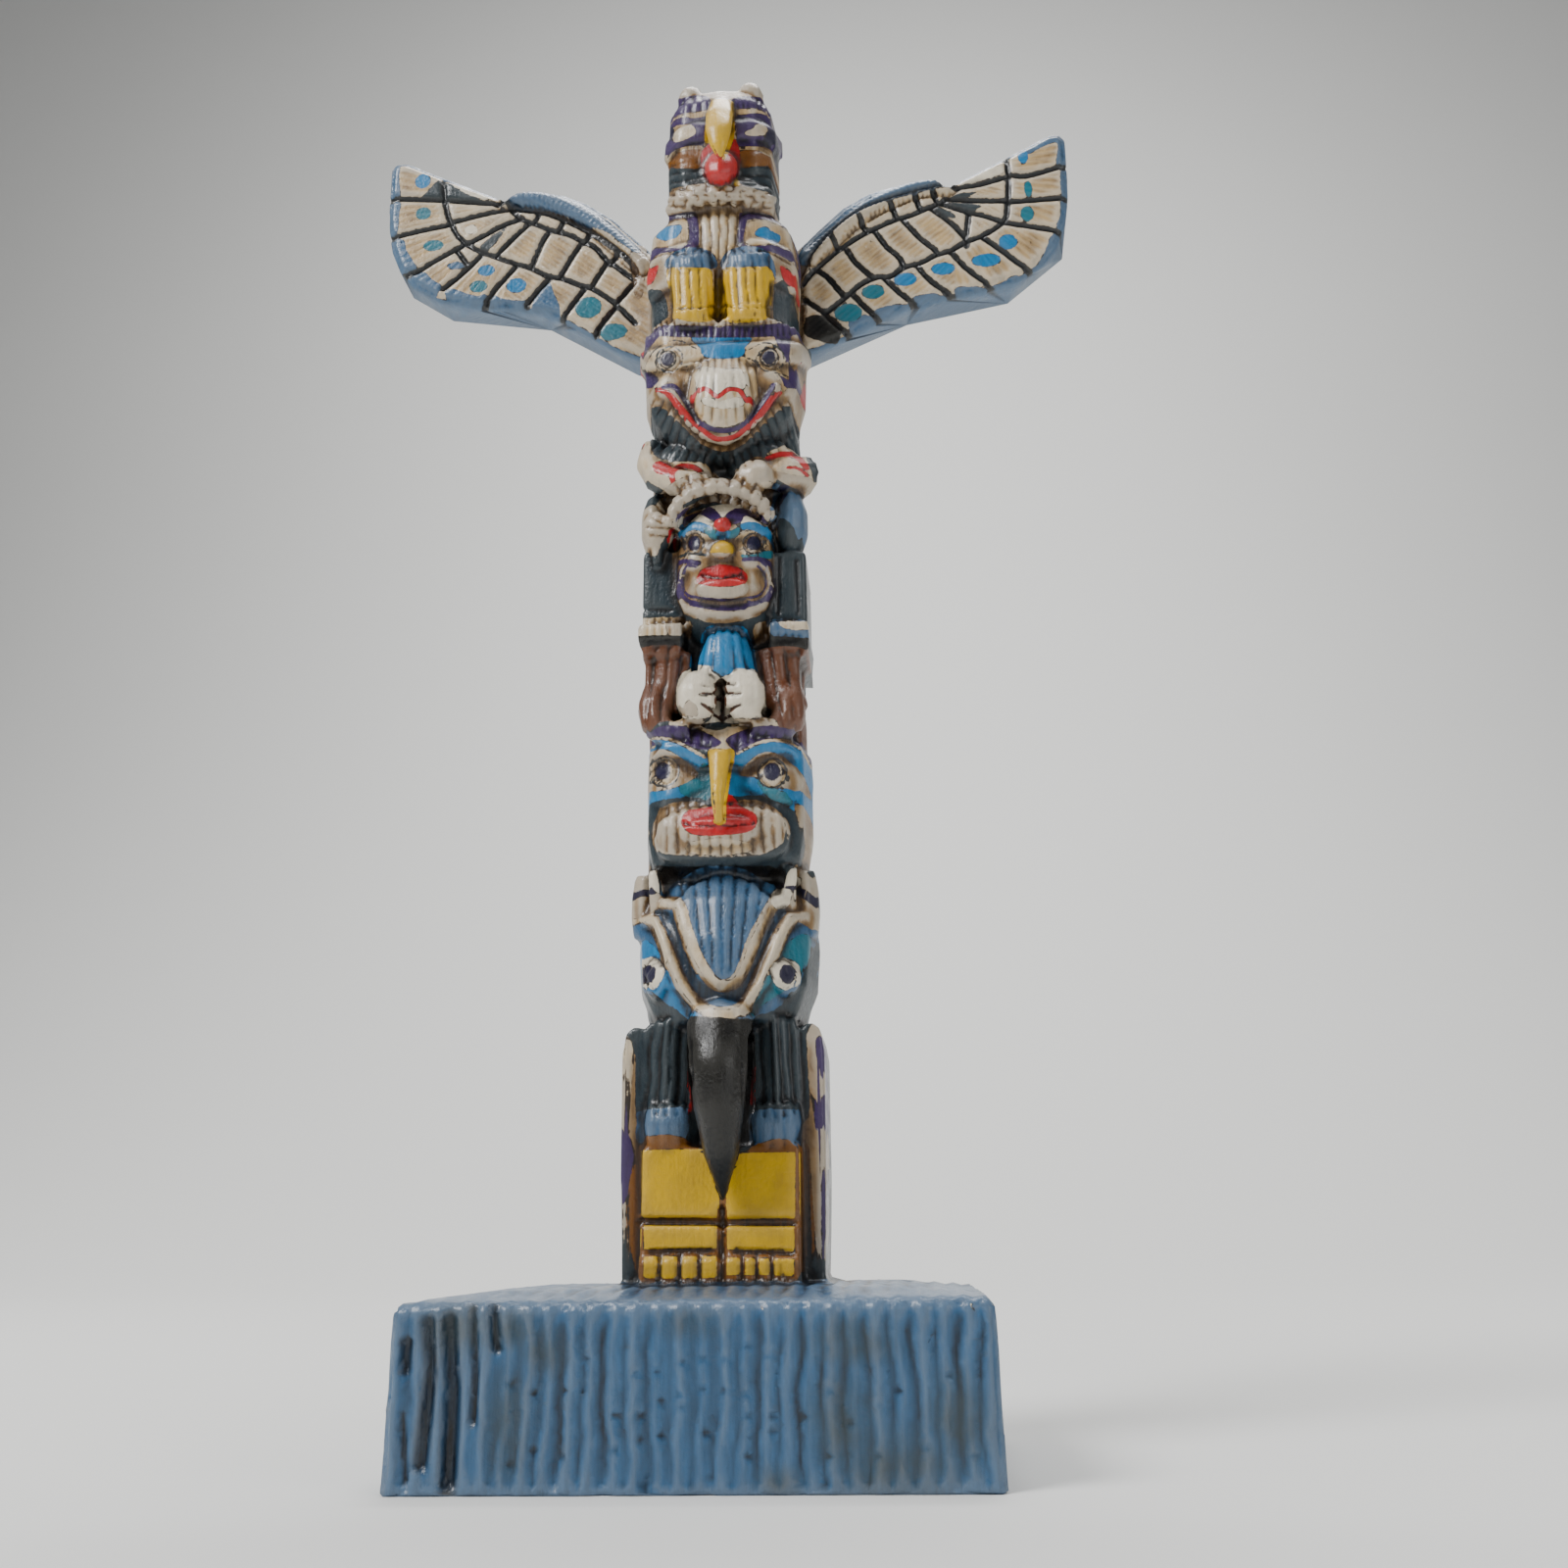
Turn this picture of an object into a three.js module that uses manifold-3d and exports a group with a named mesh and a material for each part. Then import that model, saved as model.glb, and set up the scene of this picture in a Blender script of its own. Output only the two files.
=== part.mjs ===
import * as THREE from 'three';
import { mergeVertices } from 'three/addons/utils/BufferGeometryUtils.js';
import Module from 'manifold-3d';

const wasm = await Module();
wasm.setup();

// Driving dimensions in millimetres. X runs to the right of someone facing the figures,
// Y runs away from them and Z up. The origin is the middle of the base's underside.

const BASE_WIDTH = 80;
const BASE_DEPTH = 56;
const BASE_HEIGHT = 23.4;
const BASE_CROWN = 1.1;
const BASE_EDGE = 1.2;
const BASE_CORNER = 1.1;
const GRAIN_PITCH = 6.6;
const GRAIN_DEPTH = 0.4;

const POLE_HEIGHT = 213.2;
const POLE_WIDTH = 28.8;
const POLE_DEPTH = 25;
const POLE_SETBACK = 22;
const POLE_OFFSET = 1.6;
const FORWARD_HANG = 0.0045;
const HANG_LEVEL = 44;

const WING_REACH = 68;
const WING_THICKNESS = 6.5;
const WING_BACK_STEP = 2.5;
const FEATHER_RELIEF = 0.9;
const FEATHER_GROOVE = 0.8;
const RIGHT_WING_DROP = 3;
const DROP_FROM = 19;
const DROP_TO = 34;
const RIGHT_WING_SHARE = 0.965;

// The figures and the wings are a drawing of a pole 28.8 wide, 25 deep and 213.2 high that
// stands on a base 23.4 high, with its front at Y = -6. These frames carry the drawing to its place.

const DRAWN = { width: 28.8, depth: 25, height: 213.2, front: -6, floor: 23.4, reach: 68 };

const poleFront = -BASE_DEPTH / 2 + POLE_SETBACK;
const poleBack = poleFront + POLE_DEPTH;
const wingBack = poleBack - WING_BACK_STEP;
const wingFront = wingBack - WING_THICKNESS;

function heightOf(z) {
  return BASE_HEIGHT + (z - DRAWN.floor) * POLE_HEIGHT / DRAWN.height;
}

// What stands out in front of the pole's face hangs lower the further out and up it is.
function onPole([x, y, z]) {
  const deep = poleFront + (y - DRAWN.front) * POLE_DEPTH / DRAWN.depth;
  const high = heightOf(z);
  const hang = FORWARD_HANG * Math.max(0, poleFront - deep) * Math.max(0, high - HANG_LEVEL);
  return [POLE_OFFSET + x * POLE_WIDTH / DRAWN.width, deep, high - hang];
}

function asBuilt(point) {
  return point;
}

// Solids from geometries

function solid(geometry, place = onPole) {
  const bare = new THREE.BufferGeometry();
  bare.setAttribute('position', geometry.attributes.position);
  bare.setIndex(geometry.index);
  const merged = mergeVertices(bare, 1e-4);
  const position = merged.attributes.position;
  for (let i = 0; i < position.count; i++) {
    position.setXYZ(i, ...place([position.getX(i), position.getY(i), position.getZ(i)]));
  }
  return new wasm.Manifold(new wasm.Mesh({
    numProp: 3,
    vertProperties: position.array,
    triVerts: new Uint32Array(merged.index.array),
  }));
}

function join(parts) {
  return parts.flat(Infinity).reduce((whole, part) => whole.add(part));
}

function mirrored(points, side) {
  return points.map(([first, ...rest]) => [first * side, ...rest]);
}

// A closed skin over rings of equal length, each ring a list of [x, y] that starts at the front
// and turns to the right, with its own height

function loft(rings, heights, place = onPole) {
  const sides = rings[0].length;
  const steps = rings.length - 1;
  const geometry = new THREE.CylinderGeometry(1, 1, 1, sides, steps);
  const position = geometry.attributes.position;
  for (let i = 0; i < position.count; i++) {
    const [x, y, z] = [position.getX(i), position.getY(i), position.getZ(i)];
    const row = Math.round((y + 0.5) * steps);
    const column = (Math.round(Math.atan2(x, z) / (2 * Math.PI) * sides) + sides) % sides;
    const reach = Math.hypot(x, z) > 0.5 ? 1 : 0;
    const ring = rings[row];
    const middle = [0, 1].map((axis) => ring.reduce((sum, point) => sum + point[axis], 0) / sides);
    position.setXYZ(
      i,
      middle[0] + reach * (ring[column][0] - middle[0]),
      middle[1] + reach * (ring[column][1] - middle[1]),
      heights[row],
    );
  }
  return solid(geometry, place);
}

// A head or a body: a superellipse section at each station. A station gives its height, its
// half width and the place of its front.

class Form {
  constructor({ stations, centre = 0, middle = 6, back = 13, power = 2.8, sides = 12, flutes = 0,
    fluteDepth = 0 }) {
    Object.assign(this, { stations, centre, middle, back, power, sides, flutes, fluteDepth });
  }

  ring(halfWidth, front) {
    const points = [];
    for (let i = 0; i < this.sides; i++) {
      const angle = 2 * Math.PI * i / this.sides;
      const across = Math.sign(Math.sin(angle)) * Math.abs(Math.sin(angle)) ** (2 / this.power);
      const along = Math.sign(Math.cos(angle)) * Math.abs(Math.cos(angle)) ** (2 / this.power);
      const depth = along >= 0 ? this.middle - front : this.back - this.middle;
      const ripple = 1 - this.fluteDepth * (0.5 - 0.5 * Math.cos(this.flutes * angle));
      points.push([this.centre + halfWidth * across * ripple, this.middle - depth * along * ripple]);
    }
    return points;
  }

  solid(grown = 0) {
    const rings = this.stations.map(([, halfWidth, front]) => this.ring(halfWidth + grown, front - grown));
    return loft(rings, this.stations.map(([z]) => z));
  }

  // Y of the front surface at x and z
  front(x, z) {
    const rows = this.stations;
    const last = rows.length - 1;
    let row = 0;
    while (row < last - 1 && rows[row + 1][0] < z) row++;
    const share = THREE.MathUtils.clamp((z - rows[row][0]) / (rows[row + 1][0] - rows[row][0]), 0, 1);
    const halfWidth = THREE.MathUtils.lerp(rows[row][1], rows[row + 1][1], share);
    const front = THREE.MathUtils.lerp(rows[row][2], rows[row + 1][2], share);
    const out = Math.min(0.98, Math.abs((x - this.centre) / halfWidth));
    return this.middle - (this.middle - front) * (1 - out ** this.power) ** (1 / this.power);
  }

  // A field raised above the front by an even height, inside an outline of [x, z]
  relief(outline, raised) {
    const FAR_FRONT = -40;
    return slab(outline, FAR_FRONT, this.middle).intersect(this.solid(raised));
  }

  // A ridge that follows the front through points of [x, z]
  ridge(points, width, depth, lift = 0, steps = 4) {
    const path = points.map(([x, z]) => [x, this.front(x, z) - lift, z]);
    return limb(path, [[width, depth]], { sides: 4, steps: steps * (points.length - 1) });
  }
}

// An outline of [x, z] with depth from front to back

function slab(outline, front, back, place = onPole) {
  const shape = new THREE.Shape(outline.map((point) => new THREE.Vector2(...point)));
  const geometry = new THREE.ExtrudeGeometry(shape, { depth: back - front, bevelEnabled: false });
  geometry.rotateX(Math.PI / 2);
  geometry.translate(0, back, 0);
  return solid(geometry, place);
}

// A profile of [y, z] that runs across from left to right

function profileBar(profile, left, right) {
  const shape = new THREE.Shape(profile.map(([y, z]) => new THREE.Vector2(y, z)));
  const geometry = new THREE.ExtrudeGeometry(shape, { depth: right - left, bevelEnabled: false });
  geometry.applyMatrix4(new THREE.Matrix4().makeBasis(
    new THREE.Vector3(0, 1, 0), new THREE.Vector3(0, 0, 1), new THREE.Vector3(1, 0, 0),
  ));
  geometry.translate(left, 0, 0);
  return solid(geometry);
}

function box(low, high) {
  const size = high.map((value, axis) => value - low[axis]);
  const geometry = new THREE.BoxGeometry(...size);
  geometry.translate(...low.map((value, axis) => value + size[axis] / 2));
  return solid(geometry);
}

function ball(centre, radii, around = 8, down = 5) {
  const geometry = new THREE.SphereGeometry(1, around, down);
  geometry.rotateX(Math.PI / 2);
  geometry.scale(...radii);
  geometry.translate(...centre);
  return solid(geometry);
}

// A tapering round bar along a curve. Each entry of radii is [across the front, front to back],
// and they are spread evenly along the curve.

function limb(points, radii, { sides = 6, steps = 4, place = onPole } = {}) {
  const curve = new THREE.CatmullRomCurve3(points.map((point) => new THREE.Vector3(...point)));
  const geometry = new THREE.CylinderGeometry(1, 1, 1, sides, steps);
  const position = geometry.attributes.position;
  const depthways = new THREE.Vector3(0, 1, 0);
  for (let i = 0; i < position.count; i++) {
    const share = position.getY(i) + 0.5;
    const spot = curve.getPointAt(THREE.MathUtils.clamp(share, 0, 1));
    const along = curve.getTangentAt(THREE.MathUtils.clamp(share, 0, 1));
    const deep = depthways.clone().addScaledVector(along, -depthways.dot(along)).normalize();
    const wide = new THREE.Vector3().crossVectors(deep, along);
    const at = share * (radii.length - 1);
    const low = radii[Math.floor(at)];
    const high = radii[Math.min(radii.length - 1, Math.floor(at) + 1)];
    const width = THREE.MathUtils.lerp(low[0], high[0], at % 1);
    const depth = THREE.MathUtils.lerp(low[1], high[1], at % 1);
    spot.addScaledVector(wide, position.getX(i) * width);
    spot.addScaledVector(deep, -position.getZ(i) * depth);
    position.setXYZ(i, spot.x, spot.y, spot.z);
  }
  return solid(geometry, place);
}

function oval(x, z, halfWidth, halfHeight, count = 10, power = 2) {
  const points = [];
  for (let i = 0; i < count; i++) {
    const angle = 2 * Math.PI * i / count;
    const across = Math.sign(Math.cos(angle)) * Math.abs(Math.cos(angle)) ** (2 / power);
    const up = Math.sign(Math.sin(angle)) * Math.abs(Math.sin(angle)) ** (2 / power);
    points.push([x + halfWidth * across, z + halfHeight * up]);
  }
  return points;
}

const SIDES = [-1, 1];

// Base: a block with upright grain grooves round it and a slightly crowned top

function baseRing(inset) {
  const halfWidth = BASE_WIDTH / 2 - inset;
  const halfDepth = BASE_DEPTH / 2 - inset;
  const corner = BASE_CORNER;
  const points = [];
  const edge = (length, put) => {
    const grooves = Math.max(3, Math.round(length / GRAIN_PITCH));
    put(0, 0);
    for (let i = 0; i < grooves; i++) {
      put((i + 0.35) / grooves * length, GRAIN_DEPTH);
      put((i + 0.75) / grooves * length, 0);
    }
    put(length, 0);
  };
  const long = 2 * (BASE_WIDTH / 2 - corner);
  const short = 2 * (BASE_DEPTH / 2 - corner);
  const wide = 1 - 2 * inset / BASE_WIDTH;
  const deep = 1 - 2 * inset / BASE_DEPTH;
  edge(long, (run, cut) => points.push([(run - long / 2) * wide, -halfDepth + cut]));
  edge(short, (run, cut) => points.push([halfWidth - cut, (run - short / 2) * deep]));
  edge(long, (run, cut) => points.push([(long / 2 - run) * wide, halfDepth - cut]));
  edge(short, (run, cut) => points.push([-halfWidth + cut, (short / 2 - run) * deep]));
  const turn = Math.round(points.length * long / (4 * (long + short)));
  return [...points.slice(turn), ...points.slice(0, turn)];
}

function base() {
  const top = BASE_HEIGHT + BASE_CROWN;
  const heights = [0, BASE_HEIGHT - BASE_EDGE, BASE_HEIGHT, top];
  const insets = [0, 0.2, BASE_EDGE, BASE_DEPTH / 4];
  return loft(insets.map(baseRing), heights, asBuilt);
}

// The spine behind the figures, from inside the base to the neck of the top bird

const SPINE_FOOT = 21;
const POLE_BACK = 19;

const spine = new Form({
  stations: [
    [SPINE_FOOT, 11.8, 1], [61, 12, 1], [65, 13.2, 0.5], [108, 13.5, 0.5], [206, 13.2, 0.5],
    [211, 9.4, 0.5], [235.4, 8.6, 0.5], [237.8, 7, 2],
  ],
  back: POLE_BACK,
  power: 4,
  sides: 12,
});

// Lowest figure: a raven with a long beak, on two block feet between side panels

const FOOT_TOP = 43.8;
const FOOT_HALF = 11.75;
const FOOT_GAP = 0.3;
const TOES = 4;

function ravenFoot(side) {
  const profile = [
    [3, SPINE_FOOT], [-8, SPINE_FOOT], [-8.2, 27.9], [-7.2, 28.5], [-7, 32.7], [-5.9, 33.3],
    [-6.4, 34], [-6, FOOT_TOP], [3, FOOT_TOP],
  ];
  const inner = FOOT_GAP;
  const outer = FOOT_HALF;
  const block = profileBar(profile, Math.min(inner * side, outer * side), Math.max(inner * side, outer * side));
  const cuts = [];
  for (let toe = 1; toe < TOES; toe++) {
    const x = side * (inner + (outer - inner) * toe / TOES);
    cuts.push(box([x - 0.3, -10, SPINE_FOOT - 1], [x + 0.3, -7.1, 28]));
  }
  return block.subtract(join(cuts));
}

function ravenLeg(side) {
  const leg = new Form({
    stations: [[49, 3.8, -5.4], [63, 3.8, -5]],
    centre: side * 8.1,
    back: 5,
    middle: 0,
    power: 3,
    sides: 12,
    flutes: 6,
    fluteDepth: 0.2,
  });
  const cuff = new Form({
    stations: [[44.2, 3.6, -6.4], [47.4, 4, -6.9], [50.1, 3.5, -6.2]],
    centre: side * 8.1,
    back: 5,
    middle: 0,
    power: 3.6,
    sides: 12,
  });
  return [leg.solid(), cuff.solid()];
}

function sidePanel(side) {
  const outline = [
    [11.7, SPINE_FOOT], [14.9, SPINE_FOOT], [15.5, 40], [15.6, 58], [15, 61.4], [13.8, 62.3],
    [12.2, 62], [11.7, 60.5],
  ];
  return slab(mirrored(outline, side), -3, 17);
}

function raven() {
  const CENTRE = 0.2;
  const head = new Form({
    stations: [
      [60.3, 9, -2.5], [62.6, 12, -6.2], [68, 14.3, -8], [75, 14.8, -7.4], [81.5, 14.1, -5.4],
      [86, 11.2, -2], [88.2, 7.4, 1],
    ],
    centre: CENTRE,
    power: 2.5,
  });
  const dome = head.relief([
    [0, 87.2], [-4.6, 85.8], [-7, 83], [-5.8, 79.6], [-4, 75.4], [-2.3, 71.6], [0, 69],
    [2.4, 71.6], [4.1, 75.4], [5.9, 79.6], [7.6, 83], [4.8, 85.8],
  ], 1.5);
  const innerHalf = [[-9.6, 81.6], [-7.2, 80.7], [-5.5, 76.4], [-4, 72.2], [-2.1, 68.9], [0, 67.6]];
  const outerHalf = [
    [-13, 79.3], [-10.7, 78.8], [-8.6, 74.2], [-7, 69.6], [-5, 66.2], [-2.6, 63.8], [0, 63.2],
  ];
  const bands = [[innerHalf, 1.05], [outerHalf, 1]].map(([half, width]) => {
    const whole = [...half, ...mirrored(half.slice(0, -1), -1).reverse()];
    return head.ridge(whole.map(([x, z]) => [x + CENTRE, z]), width, 1.1, 0.1, 1);
  });
  const beak = limb(
    [[0.2, -3, 64], [0.2, -9.5, 61.5], [0.3, -11.6, 54], [0.5, -10.4, 44], [0.7, -8.6, 36]],
    [[5, 3], [5.1, 4.4], [4.2, 4.6], [3.2, 4], [0.3, 0.5]],
    { sides: 8, steps: 5 },
  );
  const pairs = SIDES.map((side) => [
    ravenFoot(side),
    ravenLeg(side),
    sidePanel(side),
    head.relief(oval(side * 10.2, 69.6, 1.85, 2.7), 0.9),
    limb([[side * 12.9, 3, 77], [side * 13.2, 2.4, 82], [side * 12.8, 1.5, 87.2]],
      [[2.2, 4], [2.4, 3.6], [1.9, 2.6]], { steps: 3 }),
  ]);
  return [head.solid(), dome, bands, beak, pairs];
}

// Second figure up: a wide face with a long nose, its fists raised before a fluted cone

function longNosedFace() {
  const head = new Form({
    stations: [
      [85.8, 11, -3], [88, 13, -6.4], [93, 13.9, -7.4], [99.5, 13.9, -5.8], [103, 14, -5.4],
      [107.5, 13.9, -6.2], [110.6, 10.5, -4],
    ],
    centre: 0.4,
  });
  const brow = [
    [-12.4, 107.4], [-10.4, 109.3], [-7.1, 110], [-4.2, 109.4], [-0.6, 107.5], [-0.7, 105.9],
    [-3.6, 105.6], [-6, 107.3], [-9.6, 108],
  ];
  const eye = [
    [-12.6, 102.6], [-11.4, 105.3], [-9.3, 106], [-6.6, 105], [-3.8, 102.4], [-6.6, 100.5],
    [-10.2, 99.2], [-12, 100.2],
  ];
  const muzzle = new Form({ ...head, stations: head.stations.map(([z, w, f]) => [z, w, f - 1]) });
  const lips = muzzle.relief(oval(0, 94, 6.1, 2.4, 14, 2.4), 0.9);
  const slit = muzzle.relief(oval(0, 94.1, 4.9, 0.45, 6), 2).subtract(muzzle.solid(0.1));
  const nose = limb(
    [[0.2, -4.5, 106.6], [0.2, -8, 104.6], [0.2, -10.6, 98], [0.2, -11, 94], [0.2, -9.4, 92.8]],
    [[2.1, 2], [2, 2.3], [1.5, 1.8], [1.1, 1.3], [0.7, 0.8]],
    { steps: 4 },
  );
  const pairs = SIDES.map((side) => {
    const shift = ([x, z]) => [x * side * -1 + 0.4, z];
    return [
      head.relief(brow.map(shift), 1.1),
      head.relief(eye.map(shift), 0.5),
      head.relief(oval(side * 8.8 + 0.2, 102.3, 2.1, 2.4), 0.9),
    ];
  });
  const cheeks = head.relief(oval(0.1, 93.4, 11, 5.1, 16, 2.7), 1);
  return [head.solid(), cheeks, lips.subtract(slit), nose, pairs];
}

function raisedFists() {
  const cone = new Form({
    stations: [[117.6, 5.5, -6], [119.4, 5.3, -7.2], [123, 4.7, -7.2], [126, 3.9, -6.2], [127.6, 2.4, -4]],
    centre: 0.6,
    middle: -1,
    back: 4,
    power: 2.2,
    sides: 20,
    flutes: 10,
    fluteDepth: 0.06,
  });
  const pairs = SIDES.map((side) => {
    const upperArm = new Form({
      stations: [[114, 4.4, -3.6], [125, 4.4, -3]],
      centre: side * 9.2,
      middle: 1,
      back: 5,
      power: 3,
      sides: 12,
      flutes: 6,
      fluteDepth: 0.18,
    });
    const elbow = limb(
      [[side * 11.4, 0, 118], [side * 11.2, -2, 113], [side * 8.8, -3.4, 109.4], [side * 5, -4, 110]],
      [[2.4, 3], [3.2, 3.6], [3, 3], [2, 2]],
      { sides: 7, steps: 4 },
    );
    const fist = ball([side * 3.8 + 0.2, -5.6, 115.2], [3.7, 3.5, 4.9]);
    return [upperArm.solid(), elbow, fist];
  });
  const button = ball([-0.6, -6.4, 110.1], [2.3, 1.3, 1.2], 6, 4);
  return [cone.solid(), pairs, button];
}

// Third figure up: a small round face held between two pillars that stand on foot blocks

function smallFace() {
  const CENTRE = 0.6;
  const head = new Form({
    stations: [
      [126.6, 5, -2.5], [129, 7.2, -6.2], [134, 8.7, -8], [141, 8.8, -7.6], [147, 8.2, -6.8],
      [151, 4.8, -4],
    ],
    centre: CENTRE,
    middle: 2,
    back: 8,
    power: 2.4,
  });
  const brow = [
    [-8.2, 147.2], [-6.9, 148.6], [-4.8, 149.6], [-2.4, 149.3], [-0.5, 147.9], [-1, 146.2],
    [-2.6, 146.6], [-5, 147.6], [-7, 146.8],
  ];
  const eye = [[-7, 142.2], [-5.8, 144.4], [-3.8, 144.5], [-1.8, 142.6], [-3.6, 140.4], [-6, 140.4]];
  const chinHalf = [[-4, 138.7], [-6.9, 138.4], [-7.8, 135.6], [-7, 132.2], [-4.4, 130.2], [0, 129.6]];
  const chin = [...chinHalf, ...mirrored(chinHalf.slice(0, -1), -1).reverse()];
  const mouth = head.relief(oval(CENTRE, 136.5, 4.3, 1.95, 12, 2.4), 1.3);
  const slit = head.relief(oval(CENTRE, 136.4, 3.2, 0.4, 6), 2.4).subtract(head.solid(0.5));
  const pairs = SIDES.map((side) => {
    const shift = ([x, z]) => [x * side * -1 + CENTRE, z];
    return [
      head.relief(brow.map(shift), 0.9),
      head.relief(eye.map(shift), 0.4),
      head.relief(oval(side * 4.9 + CENTRE, 142.5, 1, 1.5, 8), 0.9),
    ];
  });
  return [
    head.solid(),
    mouth.subtract(slit),
    head.ridge(chin.map(([x, z]) => [x + CENTRE, z]), 0.8, 0.8, 0, 1),
    ball([CENTRE, -7.6, 146.1], [1.35, 1.7, 1.35], 8, 4),
    ball([CENTRE, -8, 141.1], [2, 1.9, 1.6], 8, 4),
    pairs,
  ];
}

function pillars() {
  const left = [[-13.6, 124.5], [-7.4, 124.5], [-7.4, 143.2], [-13.6, 143.2]];
  const right = [[8.4, 124.5], [14.3, 124.5], [14.3, 142.2], [8.4, 142.2]];
  const leftBlock = [[-14, 126], [-6.4, 126.2], [-6.4, 129.3], [-14, 129.2]];
  const rightBlock = [[7.9, 126.2], [14.6, 126], [14.6, 128.6], [7.9, 128.8]];
  const leftSlab = [[-13.7, 123.6], [-6.6, 123.8], [-6.6, 126.4], [-13.7, 126.4]];
  const rightSlab = [[8, 123.8], [14.4, 123.6], [14.4, 126.4], [8, 126.4]];
  return [
    slab(left, -2.4, 14), slab(right, -2.4, 14),
    slab(leftBlock, -4.6, 14), slab(rightBlock, -4.6, 14),
    slab(leftSlab, -3.4, 14), slab(rightSlab, -3.4, 14),
  ];
}

// Fourth figure up: a broad grinning face over a dark body whose arms reach round the small face

function grinningFace() {
  const head = new Form({
    stations: [
      [160, 5, -2], [162.4, 8.4, -5.6], [168, 12.8, -7], [174, 14.6, -7], [186.4, 15.1, -6.4],
    ],
    centre: -0.1,
    power: 3.2,
  });
  const muzzle = new Form({
    stations: [
      [162.6, 3, -7], [164.8, 5.8, -9.2], [170, 7.4, -10.6], [175, 6.9, -10], [178.6, 4.4, -7.6],
    ],
    centre: 0.8,
    middle: 0,
    back: 3,
    power: 2.6,
    sides: 14,
  });
  const band = [[-15.9, 182.7], [-10, 182.4], [10, 182.4], [15.7, 182.7], [15.7, 186.6], [-15.9, 186.6]];
  const grin = [
    [-10.8, 172.4], [-9, 172.8], [-6.9, 169.4], [-4.6, 165.4], [-2, 162.8], [0.7, 162],
    [3.4, 162.9], [6, 165.4], [8.2, 168.8], [10.2, 172.2],
  ];
  const almond = [
    [-13.2, 176.2], [-11.2, 179.7], [-7.8, 181.8], [-5, 180.7], [-2.9, 178.4], [-6.8, 175.4],
    [-10.5, 175],
  ];
  const pairs = SIDES.map((side) => {
    const shift = ([x, z]) => [x * side * -1 - 0.1, z];
    return [
      head.relief(almond.map(shift), 0.45),
      head.relief(oval(side * 8.9 - 0.1, 178, 2.15, 2.3), 0.8),
    ];
  });
  return [
    head.solid(),
    muzzle.solid(),
    head.relief(band, 0.9),
    head.ridge(grin, 1.2, 1.5, 0.6, 1),
    pairs,
  ];
}

function reachingBody() {
  const chest = [
    ball([-7.4, 0.5, 159.6], [6.4, 5.4, 5]),
    ball([7.2, 0.5, 159.8], [7, 5.4, 5]),
  ];
  const bandedArm = limb(
    [[-12.6, 2, 165], [-12.4, -1.4, 159], [-8.6, -4.2, 155.2], [-2, -5.2, 154.4]],
    [[2.4, 3], [2.8, 3], [2.9, 2.8], [1.7, 1.8]],
    { sides: 8, steps: 4 },
  );
  const fist = ball([5.9, -5.2, 155], [3.7, 3.6, 3.4]);
  const cuff = limb(
    [[8.6, -3.6, 155.6], [11.4, -1.8, 157], [14.2, 1, 157.6]],
    [[2.4, 2], [3.3, 3], [3.9, 4.2]],
    { sides: 8, steps: 2 },
  );
  const fur = limb(
    [[-8.6, -4.2, 146.6], [-6.6, -5.8, 150.8], [-2, -6.6, 153.2], [2.6, -6.8, 152.8], [6.6, -6, 150.4],
      [8.8, -4.6, 146.8]],
    [[1.6, 2.2], [1.8, 2.2], [1.8, 2.2], [1.4, 2]],
    { steps: 6 },
  );
  const paw = ball([-11, -2.8, 146.6], [3, 3.6, 3.8]);
  const nub = limb([[-11, -3, 144], [-11, -3.6, 140.2]], [[1.3, 1.4], [0.8, 0.8]], { sides: 5, steps: 1 });
  const lowerArms = [
    ball([11.8, 0.6, 148.4], [3.1, 4.6, 6.8]),
    ball([-12.2, 2, 149.6], [2.6, 4.6, 6.4]),
  ];
  return [chest, bandedArm, fist, cuff, fur, paw, nub, lowerArms];
}

// Top figure: a bird with a hooked beak, its knees drawn up, and a wing on each side

function topBirdBody() {
  const body = new Form({
    stations: [
      [185.4, 13.6, -3.6], [195, 14, -5], [203, 14.4, -5.8], [208, 13.9, -5.2], [210.8, 11.4, -4],
    ],
    centre: -0.2,
    power: 3,
  });
  const patch = [
    [-13.9, 202.7], [-12.9, 206.6], [-10, 208.2], [-5.5, 209.3], [-4, 207.6], [-4.3, 201.7],
    [-10.6, 199.6], [-13.6, 197.6],
  ];
  const pairs = SIDES.map((side) => {
    const foot = new Form({
      stations: [
        [185.6, 3.6, -7.8], [188.4, 3.8, -8.4], [189, 3.8, -7.7], [195.6, 4.4, -7.8], [197.8, 4.3, -7],
      ],
      centre: side * 4.85,
      middle: 0,
      back: 4,
      power: 4,
      sides: 12,
    });
    return [
      body.relief(mirrored(patch, -side), 0.9),
      ball([side * 4.9, -3.4, 198.4], [4.4, 4.9, 3.4]),
      foot.solid(),
    ];
  });
  return [body.solid(), pairs];
}

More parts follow.
